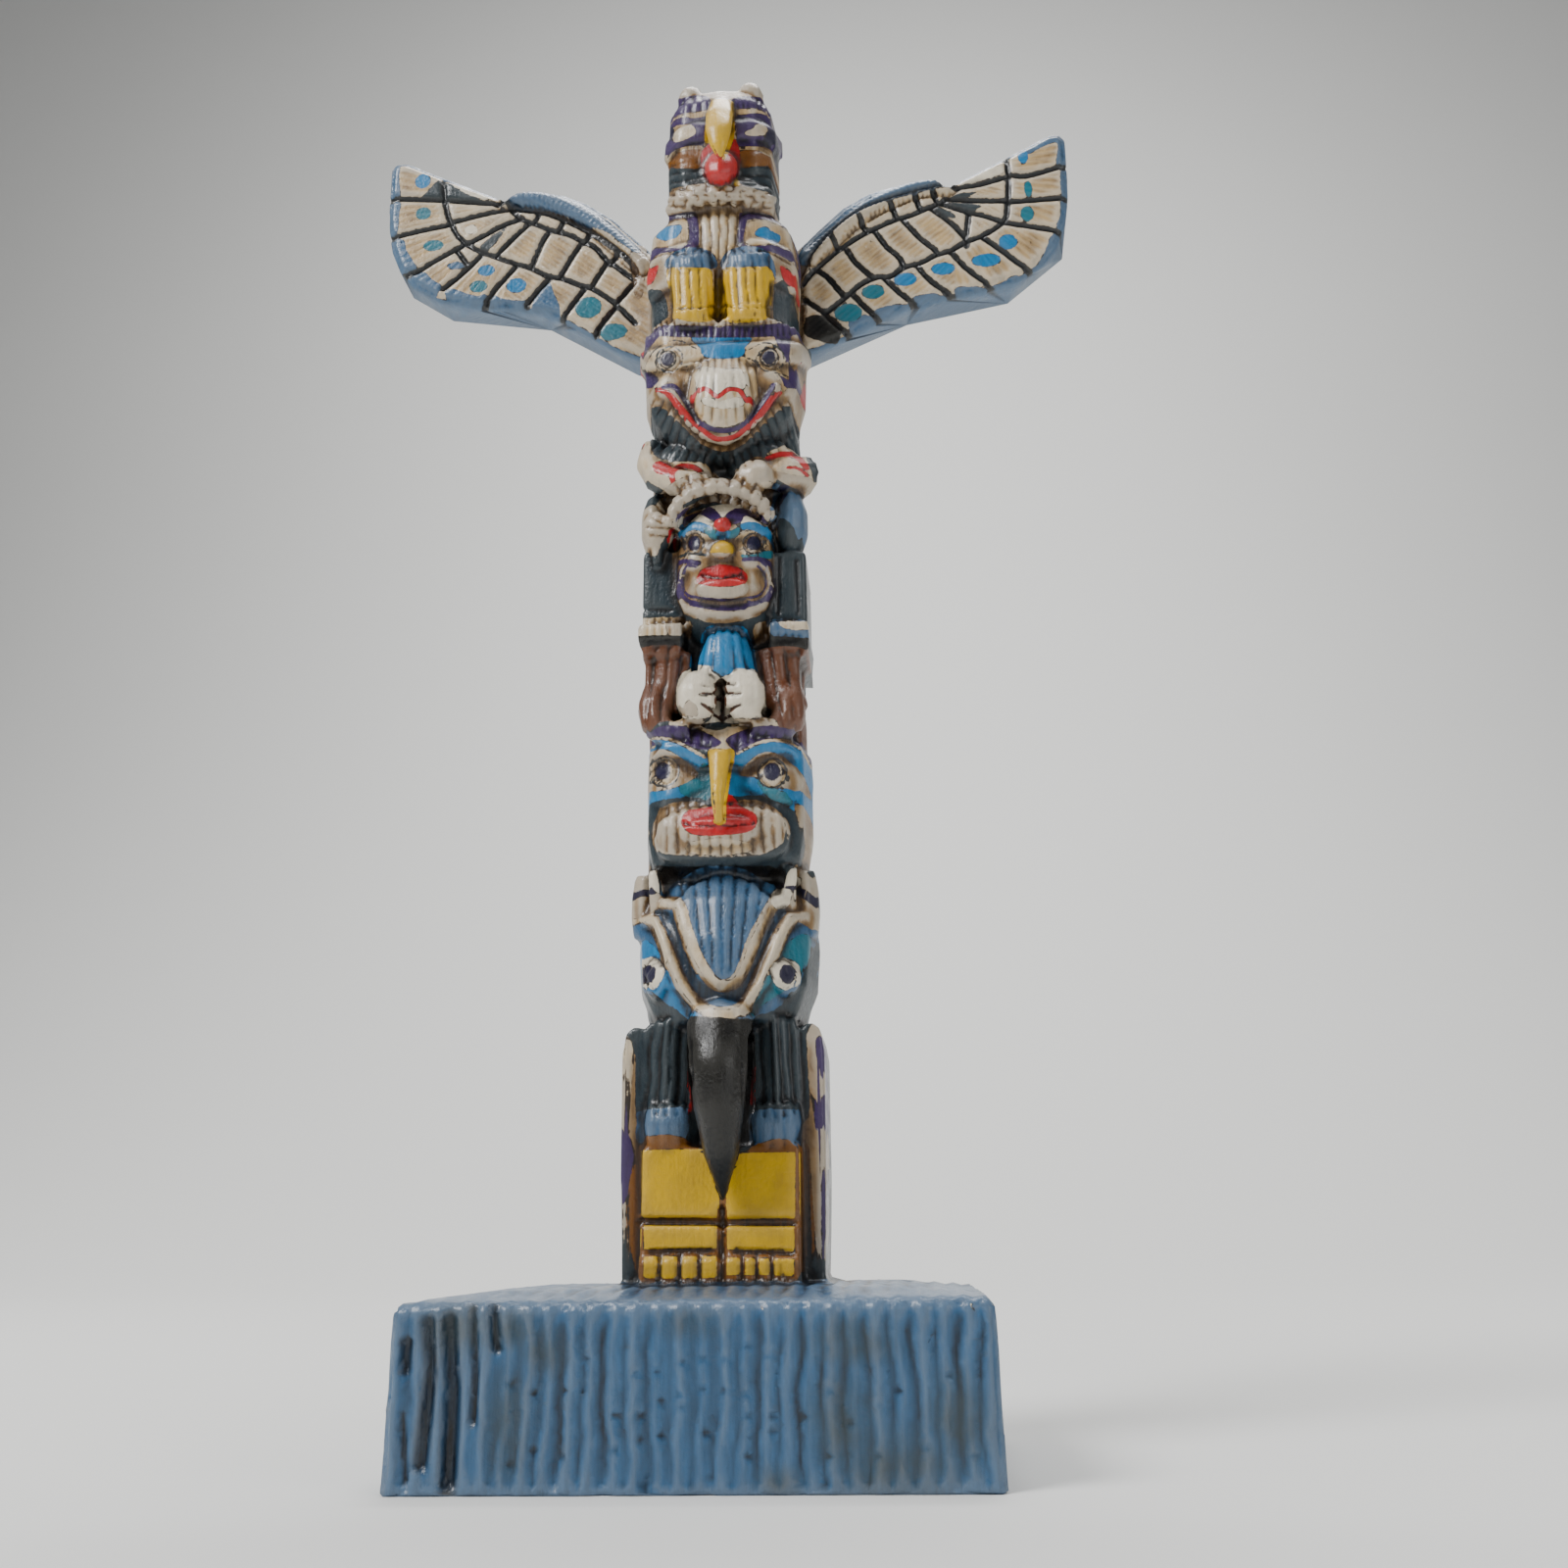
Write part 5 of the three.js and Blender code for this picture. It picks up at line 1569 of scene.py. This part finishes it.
def in_hollow(drawing, path):
    """Distance from a hollow on the base's front, in millimetres."""
    path = np.array(seen("base", path, BASE_FRONT)) + (POLE_OFFSET, 0)
    nearest = np.full(len(drawing.x), 9.0)
    spot = np.stack([drawing.x, drawing.z], 1)
    for a, b in zip(path[:-1], path[1:]):
        nearest = np.minimum(nearest, off_segment(spot, a, b)[1])
    return nearest


def carved_base(mesh):
    """Upright wood grain round the base, front-to-back grain on its top, pits and hollows."""
    drawing = Drawing(mesh)
    x, y, z = drawing.x, drawing.y, drawing.z
    normal = normals_of(mesh)
    on_side = np.abs(normal[:, 0]) > 0.7
    on_top = np.abs(normal[:, 2]) > 0.7
    run = np.where(on_side, y, x)
    length = np.where(on_top, y, z)
    sway = 0.5 * ripple(run * 0.25, length * 0.35, 31) + 0.35 * ripple(run * 0.9, length * 0.8, 32)
    strength = 0.7 + 0.5 * ripple(run * 0.35, length * 0.12, 33)
    push = row(run + sway, *GRAIN) * strength
    push += row(run + 1.7 * sway + 1.1, *FINE_GRAIN)
    push *= np.where(on_top, 0.6, 1.0)
    on_front = normal[:, 1] < -0.6
    pits = np.zeros(len(x))
    for place in PITS:
        at = np.array(seen("base", [place], BASE_FRONT)[0]) + (POLE_OFFSET, 0)
        pits = np.minimum(pits, groove(np.hypot(x - at[0], z - at[1]), *PIT))
    for path, half_width, depth in HOLLOWS:
        pits = np.minimum(pits, groove(in_hollow(drawing, path), half_width, depth))
    push += pits * on_front
    push *= np.clip((z - 0.4) / 0.8, 0, 1)
    under_pole = np.clip((y + 6.5) / 1.0, 0, 1) * (np.abs(x - POLE_OFFSET) < 16) * (z > 23)
    on_base = np.clip((25.2 - z) / 0.6, 0, 1) * (1 - under_pole)
    return push * on_base


print("pits:", len(PITS), "and hollows:", len(HOLLOWS))


# %% Carve the wings
def evened_wings(mesh):
    """Bring the wings' fronts to one plane, so that the feathers can be cut along their own lines."""
    drawing = Drawing(mesh)
    points = drawing.points.copy()
    for side in (-1, 1):
        edge = drawing.within([wing_place(side, place) for place in WING_OUTLINE], smooth=False)
        lead = [wing_place(side, (x - 0.4, z + 1.3)) for x, z in BAND_RAIL]
        clear_of_band = -drawing.line(lead, 0.0, margin=3.0) - 2.1
        share = inside(edge - 1.1, 0.6) * inside(clear_of_band, 0.5) * on_wing_front(drawing)
        share *= inside(np.abs(drawing.across) - WING_ROOT, 1.0)
        points[:, 1] += share * (WING_FRONT - points[:, 1])
        in_band = 2.4 + np.clip(2.1 - clear_of_band - 4.2, -9, 0)
        on_band = inside(in_band, 0.6) * (edge > 0.3) * on_wing_front(drawing)
        crown = WING_FRONT - 1.1 + 0.3 * np.minimum(clear_of_band + 2.1, 2.2) ** 2
        points[:, 1] += on_band * inside(edge - 0.6, 0.6) * (crown - points[:, 1])
    moved(mesh, points)


def carved_wings(mesh):
    """Grooves between the feathers, fine ribs on the leading edge, and streaks along the feathers."""
    drawing = Drawing(mesh)
    on_wing = on_wing_front(drawing)
    push = groove(between_feathers(drawing), 0.5, 0.85) * on_wing
    for side in (-1, 1):
        edge = drawing.within([wing_place(side, place) for place in WING_OUTLINE], smooth=False)
        push *= np.where(np.sign(drawing.across) == side, 0.35 + 0.65 * inside(edge - 0.9, 0.7), 1.0)
        lead = rounded([wing_place(side, (x - 0.6, z + 1.2)) for x, z in BAND_RAIL], closed=False, steps=12)
        here = on_wing & (np.sign(drawing.across) == side)
        spot = np.stack([drawing.across[here], drawing.up[here]], 1)
        run = np.concatenate([[0], np.cumsum(np.hypot(*np.diff(lead, axis=0).T))])
        nearest = np.full(here.sum(), 1e9)
        place = np.zeros(here.sum())
        for a, b, start in zip(lead[:-1], lead[1:], run):
            t, gap = off_segment(spot, a, b)
            place = np.where(gap < nearest, start + t * np.hypot(*(b - a)), place)
            nearest = np.minimum(nearest, gap)
        push[here] += inside(2.4 - nearest, 0.8) * row(place, 1.05, 0.24, 0.16)
    streak = streaks(drawing)
    on_pads = (drawing.y < PAD_TOP) & on_wing
    push += on_pads * row(streak[0] + 0.3 * ripple(streak[0], streak[1] * 0.5, 41), 1.05, 0.28, 0.07)
    return push


def streaks(drawing):
    """Across and along the brush strokes, in millimetres, for every point."""
    across, along = drawing.across, drawing.up
    wing = (drawing.y > WINGS_FROM) & (np.abs(drawing.across) > 13) & (drawing.z > WINGS_LOW)
    x = np.abs(drawing.across)
    tip = wing & (x > 43)
    turn = np.arctan2(drawing.up - 227, np.maximum(x - 38, 0.5))
    across = np.where(tip, turn * 18, across)
    along = np.where(tip, x, along)
    inner = wing & ~tip
    across = np.where(inner, 0.62 * x - 0.78 * drawing.up, across)
    along = np.where(inner, 0.78 * x + 0.62 * drawing.up, along)
    base = drawing.z < 23
    across = np.where(base, drawing.x, across)
    along = np.where(base, drawing.z + drawing.y, along)
    return across, along


# %% Push the points, then thin the mesh where nothing fine is carved or painted
TRIANGLES = 194_000
BEAKS_FROM = -12.0
ON_BASE = 24


def pushed(mesh, amount):
    """Move each point of the mesh along its normal, in millimetres."""
    points = Drawing(mesh).points + normals_of(mesh) * np.clip(amount, -1.5, 0.8)[:, None]
    moved(mesh, points)


def thinned(mesh, keep_fine):
    """The mesh with fewer triangles, taken from where keep_fine is low."""
    carrier = linked("thinning", mesh)
    group = carrier.vertex_groups.new(name="plain")
    steps = np.round(np.clip(1 - keep_fine, 0.02, 1) * 10) / 10
    for level in np.unique(steps):
        group.add(np.nonzero(steps == level)[0].tolist(), max(float(level), 0.02), "REPLACE")
    modifier = carrier.modifiers.new("thin", "DECIMATE")
    modifier.ratio = min(1.0, TRIANGLES / (2 * len(mesh.polygons)))
    modifier.vertex_group = "plain"
    modifier.vertex_group_factor = 10
    modifier.use_collapse_triangulate = True
    shaped = carrier.evaluated_get(bpy.context.evaluated_depsgraph_get())
    result = bpy.data.meshes.new_from_object(shaped)
    bpy.data.objects.remove(carrier)
    return result


def smoothed_beaks(mesh):
    """Take the edges off what stands far forward."""
    points = Drawing(mesh).points
    share = np.clip((BEAKS_FROM - points[:, 1]) / 1.5, 0, 1) * (points[:, 2] > 30)
    points = points + share[:, None] * (spread(mesh, points, 25) - points)
    moved(mesh, points)


smoothed_beaks(casting)
evened_wings(casting)
pushed(casting, carved(casting) + carved_base(casting) + carved_wings(casting))
drawn, normal = Drawing(casting), normals_of(casting)
facing = -normal[:, 1]
fine = np.clip(0.5 + facing, np.where(drawn.y < 3, 0.3, 0), 1) * (drawn.y < 12)
on_base = np.clip(0.25 + 0.5 * facing, 0, 0.7) * (normal[:, 2] > -0.5)
fine = np.where(drawn.z < ON_BASE, on_base, fine)
first_coats = np.stack(list(painted(casting).coats.values()))
nearest_two = np.partition(first_coats, -2, axis=0)[-2:]
by_an_edge = nearest_two.max(0) - nearest_two.min(0) < 1.2
fine = np.where(by_an_edge, np.maximum(fine, 0.9), fine)
casting = thinned(casting, fine)
print("thinned:", len(casting.polygons), "triangles")

# %% [markdown]
# ## Wash, worn ridges, painted shade and painted highlight
#
# After its colours the real piece got a thin dark wash that ran into the grooves, and touching
# has rubbed its ridges. On top of that the hollows are darkened as painted shade and the ridges
# lightened as painted highlight. Ambient occlusion in the material could find them, but that
# is slow and grainy. Here each point is compared with its evened-out neighbourhood instead: where
# it lies lower it is in a hollow, and where it stands higher it is on a ridge.

# %% Where paint runs thin, where wash gathers and where shade is painted
FINE_HOLLOW, BROAD_HOLLOW = 0.12, 0.35
GROOVE_WASH_AND_SHADE = 0.62


def hollows_and_ridges(mesh):
    """How deep each point lies in a hollow, and how far it stands on a ridge, from 0 to 1."""
    points, normal = Drawing(mesh).points, normals_of(mesh)
    fine_sunk = np.sum((spread(mesh, points, 6) - points) * normal, 1)
    broad_sunk = np.sum((spread(mesh, points, 30) - points) * normal, 1)
    sunk = fine_sunk / FINE_HOLLOW + broad_sunk / BROAD_HOLLOW
    sunk = sunk * np.where(points[:, 2] < ON_BASE, 0.5, 1.0)
    return np.clip(sunk - 0.1, 0, 1), np.clip(-sunk - 0.15, 0, 1)


def keep(mesh, name, values, kind="FLOAT"):
    """Store one value for each point of the mesh, for the material to read."""
    layer = mesh.attributes.new(name, kind, "POINT")
    field = "value" if kind == "FLOAT" else "vector"
    layer.data.foreach_set(field, np.asarray(values, np.float32).ravel())


STAINED = {"cream": 1.0, "beige": 1.0, "white": 0.5, "yellow": 0.5, "brown": 0.4, "amber": 0.5}
work = painted(casting)
for name, cover in work.coats.items():
    keep(casting, "paint_" + name, np.clip(cover, -1.0, 1.0))
hollow, ridge = hollows_and_ridges(casting)
drawn = work.drawing
# The deep hollows in the base's front and the grooves between the feathers are darkened too: painted shade,
# laid with the wash
for path, half_width, depth in HOLLOWS:
    dark = np.clip(1.6 - in_hollow(drawn, path) / half_width, 0, 1) * (drawn.y < -24)
    hollow = np.maximum(hollow, dark)
gap = between_feathers(drawn)
hollow = np.maximum(hollow, np.clip(1.4 - gap / GROOVE_WASH_AND_SHADE, 0, 1) * on_wing_front(drawn))
stained = sum(np.clip(work.coats[name] * 2 + 0.5, 0, 1) * amount for name, amount in STAINED.items())
across, along = streaks(drawn)
# How dark each point is painted for lying in a hollow: the wash and painted shade together
keep(casting, "hollow", hollow)
keep(casting, "ridge", ridge)
keep(casting, "stain", np.clip(stained, 0, 1))
keep(casting, "grime", grime(drawn))
keep(casting, "brush", np.stack([across, along, drawn.y * 0.3], 1), "FLOAT_VECTOR")
print("share of points in hollows:", round(float((hollow > 0.5).mean()), 3))

# %% [markdown]
# ## The paint's material
#
# One Principled shader carries the glossy paint. Its colour is built as the painter builds it:
# a dark ground, every coat laid over it inside its own crisp edge, a thin brown wash that stays in
# the hollows together with painted shade there, and a dry brush that catches the ridges together
# with a painted highlight there. Edge, wash and brush marks are used many times, so each is a node
# group made once.


# %% Helpers for nodes
def linear(colour):
    """A colour on the screen's own scale, as the renderer counts it."""
    return tuple(c / 12.92 if c <= 0.04045 else ((c + 0.055) / 1.055) ** 2.4 for c in colour) + (1,)


def add(tree, kind, inputs=None, **settings):
    """A node with its settings. An input is given a value, or the socket that feeds it."""
    made = tree.nodes.new(kind)
    for name, value in settings.items():
        setattr(made, name, value)
    for name, value in (inputs or {}).items():
        socket = made.inputs[name]
        if isinstance(value, bpy.types.NodeSocket):
            tree.links.new(value, socket)
        else:
            socket.default_value = value
    return made


def blend(tree, factor, first, second, how="MIX"):
    """Two colours mixed by a factor."""
    return add(
        tree, "ShaderNodeMix", {0: factor, 6: first, 7: second}, data_type="RGBA", blend_type=how
    ).outputs[2]


def sums(tree, how, first, second, clamp=False):
    """One step of arithmetic on two values."""
    return add(tree, "ShaderNodeMath", {0: first, 1: second}, operation=how, use_clamp=clamp).outputs[0]


def ranged(tree, value, low, high, to_low=0.0, to_high=1.0):
    """A value stretched from one range to another."""
    return add(tree, "ShaderNodeMapRange", {
        "Value": value, "From Min": low, "From Max": high, "To Min": to_low, "To Max": to_high,
    }).outputs["Result"]


def group(name, takes, gives):
    """An empty node group with its sockets."""
    tree = bpy.data.node_groups.new(name, "ShaderNodeTree")
    for socket, kind, value in takes:
        made = tree.interface.new_socket(socket, in_out="INPUT", socket_type=kind)
        if value is not None:
            made.default_value = value
    for socket, kind in gives:
        tree.interface.new_socket(socket, in_out="OUTPUT", socket_type=kind)
    return tree, tree.nodes.new("NodeGroupInput").outputs, tree.nodes.new("NodeGroupOutput").inputs


FLOAT, VECTOR = "NodeSocketFloat", "NodeSocketVector"

# %% The edge of a coat
edge_tree, takes, gives = group(
    "coat_edge", [("Inside", FLOAT, 0.0), ("Waver", FLOAT, 0.0), ("Blur", FLOAT, 0.06)], [("Mask", FLOAT)]
)
wavering = sums(edge_tree, "ADD", takes["Inside"], takes["Waver"])
opening = add(
    edge_tree, "ShaderNodeMapRange",
    {
        "Value": wavering, "From Min": sums(edge_tree, "MULTIPLY", takes["Blur"], -1.0),
        "From Max": takes["Blur"],
    },
    interpolation_type="SMOOTHSTEP",
)
edge_tree.links.new(opening.outputs["Result"], gives["Mask"])

# %% Brush marks
brush_tree, takes, gives = group(
    "brush_marks", [("Stroke", VECTOR, None), ("Length", FLOAT, 0.14), ("Fineness", FLOAT, 1.6)],
    [("Tone", FLOAT), ("Streak", FLOAT)]
)
stretch = add(brush_tree, "ShaderNodeCombineXYZ", {"X": 1.0, "Y": takes["Length"], "Z": 1.0})
stroke = add(
    brush_tree, "ShaderNodeVectorMath", {0: takes["Stroke"], 1: stretch.outputs[0]}, operation="MULTIPLY"
)
broad = add(brush_tree, "ShaderNodeTexNoise", {"Vector": takes["Stroke"], "Scale": 0.32, "Detail": 3.0})
hairs = add(brush_tree, "ShaderNodeTexNoise", {
    "Vector": stroke.outputs[0], "Scale": takes["Fineness"], "Detail": 4.0, "Roughness": 0.6,
})
brush_tree.links.new(broad.outputs["Fac"], gives["Tone"])
brush_tree.links.new(hairs.outputs["Fac"], gives["Streak"])

# %% Wash and painted shade that stay in the hollows
wash_and_shade_tree, takes, gives = group(
    "wash_and_shade", [("Hollow", FLOAT, 0.0), ("Stain", FLOAT, 0.0), ("Streak", FLOAT, 0.5), ("Tone", FLOAT, 0.5)],
    [("Dark", FLOAT), ("Brown", FLOAT)]
)
patchy = sums(wash_and_shade_tree, "MULTIPLY_ADD", takes["Streak"], 0.8)
patchy.node.inputs[2].default_value = 0.45
dark = sums(wash_and_shade_tree, "MULTIPLY", takes["Hollow"], patchy, clamp=True)
streaky = ranged(wash_and_shade_tree, takes["Streak"], 0.42, 0.72)
cloudy = ranged(wash_and_shade_tree, takes["Tone"], 0.38, 0.66)
brown = sums(
    wash_and_shade_tree, "ADD", sums(wash_and_shade_tree, "MULTIPLY", streaky, 0.55), sums(wash_and_shade_tree, "MULTIPLY", cloudy, 0.35)
)
wash_and_shade_tree.links.new(dark, gives["Dark"])
wash_and_shade_tree.links.new(sums(wash_and_shade_tree, "MULTIPLY", brown, takes["Stain"], clamp=True), gives["Brown"])

# %% The painted resin
resin = bpy.data.materials.new("hand_painted_resin")
resin.use_nodes = True
tree = resin.node_tree
shader = tree.nodes["Principled BSDF"]


def kept(name):
    """The values that keep() stored on the mesh."""
    return add(tree, "ShaderNodeAttribute", attribute_name=name)


def place_group(made, inputs):
    """A node group put to use in the paint."""
    return add(tree, "ShaderNodeGroup", inputs, node_tree=made)


millimetres = add(tree, "ShaderNodeMapping", {
    "Vector": add(tree, "ShaderNodeTexCoord").outputs["Object"], "Scale": (1000, 1000, 1000),
})
waver_noise = add(tree, "ShaderNodeTexNoise", {
    "Vector": millimetres.outputs[0], "Scale": 0.9, "Detail": 2.0,
})
waver = sums(tree, "MULTIPLY", sums(tree, "SUBTRACT", waver_noise.outputs["Fac"], 0.5), 0.55)
marks = place_group(brush_tree, {"Stroke": kept("brush").outputs["Vector"]})

GROUND = (0.1, 0.085, 0.075)
# The dark of the wash and of the painted shade in the hollows
DARK_WASH_AND_SHADE = (0.07, 0.06, 0.055)
BROWN_WASH = (0.3, 0.2, 0.11)
GRIME = (0.2, 0.25, 0.27)
# The pale of the dry brush and of the painted highlight on the ridges
DRY_BRUSH_AND_HIGHLIGHT = (0.9, 0.88, 0.82)
colour = linear(GROUND)
masks = {}
for name, paint in PAINTS.items():
    coat_edge = place_group(edge_tree, {
        "Inside": kept("paint_" + name).outputs["Fac"], "Waver": waver, "Blur": 0.07,
    })
    masks[name] = coat_edge.outputs["Mask"]
    colour = blend(tree, masks[name], colour, linear(paint))

washed_and_shaded = place_group(wash_and_shade_tree, {
    "Hollow": kept("hollow").outputs["Fac"], "Stain": kept("stain").outputs["Fac"],
    "Streak": marks.outputs["Streak"], "Tone": marks.outputs["Tone"],
})
stain = kept("stain").outputs["Fac"]
tone = ranged(tree, marks.outputs["Streak"], 0.3, 0.7, 0.82, 1.14)
toned = blend(tree, 1.0, colour, tone, "MULTIPLY")
browned = blend(tree, washed_and_shaded.outputs["Brown"], toned, linear(BROWN_WASH))
# Hollows darkened: the dark wash together with painted shade
wash_and_shade_colour = blend(tree, sums(tree, "MULTIPLY", stain, 0.5), linear(DARK_WASH_AND_SHADE), linear(BROWN_WASH))
darkened = blend(tree, washed_and_shaded.outputs["Dark"], browned, wash_and_shade_colour)
grimy = sums(
    tree, "MULTIPLY", kept("grime").outputs["Fac"],
    sums(tree, "ADD", marks.outputs["Tone"], 0.15, clamp=True)
)
greyed = blend(tree, grimy, darkened, linear(GRIME))
chalky = sums(tree, "MULTIPLY", sums(tree, "ADD", masks["cream"], masks["beige"], clamp=True), 0.4)
chalky = sums(tree, "ADD", chalky, sums(tree, "MULTIPLY", masks["blue"], 0.05))
# Ridges lightened: the dry brush together with a painted highlight
dry_brush_and_highlight = sums(tree, "MULTIPLY", kept("ridge").outputs["Fac"], sums(tree, "ADD", chalky, 0.03))
finished = blend(tree, dry_brush_and_highlight, greyed, linear(DRY_BRUSH_AND_HIGHLIGHT))
tree.links.new(finished, shader.inputs["Base Color"])

gloss = ranged(tree, marks.outputs["Tone"], 0.3, 0.7, 0.28, 0.5)
shiny = ranged(tree, masks["black"], 0, 1, 1.0, 0.9)
roughness = sums(tree, "MULTIPLY", gloss, shiny)
tree.links.new(roughness, shader.inputs["Roughness"])
peel = add(tree, "ShaderNodeTexNoise", {"Vector": millimetres.outputs[0], "Scale": 1.6, "Detail": 4.0})
relief = sums(
    tree, "ADD", sums(tree, "MULTIPLY", marks.outputs["Streak"], 0.7),
    sums(tree, "MULTIPLY", peel.outputs["Fac"], 0.8)
)
bump = add(tree, "ShaderNodeBump", {"Height": relief, "Distance": 0.00022, "Strength": 0.7})
tree.links.new(bump.outputs["Normal"], shader.inputs["Normal"])
shader.inputs["Specular IOR Level"].default_value = 0.4
tree.links.new(ranged(tree, masks["black"], 0, 1, 0.25, 0.0), shader.inputs["Coat Weight"])
shader.inputs["Coat Roughness"].default_value = 0.15
print("nodes in the paint:", len(tree.nodes))

# %% The piece
within_box = Drawing(casting).points * MM
within_box = np.clip(within_box, np.array(cad_low), np.array(cad_high))
casting.vertices.foreach_set("co", within_box.ravel())
casting.name = "painted_casting"
casting.materials.clear()
casting.materials.append(resin)
casting.polygons.foreach_set("use_smooth", [True] * len(casting.polygons))
painted_casting = linked("painted_casting", casting)
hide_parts("totem_pole")
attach(painted_casting, "root")
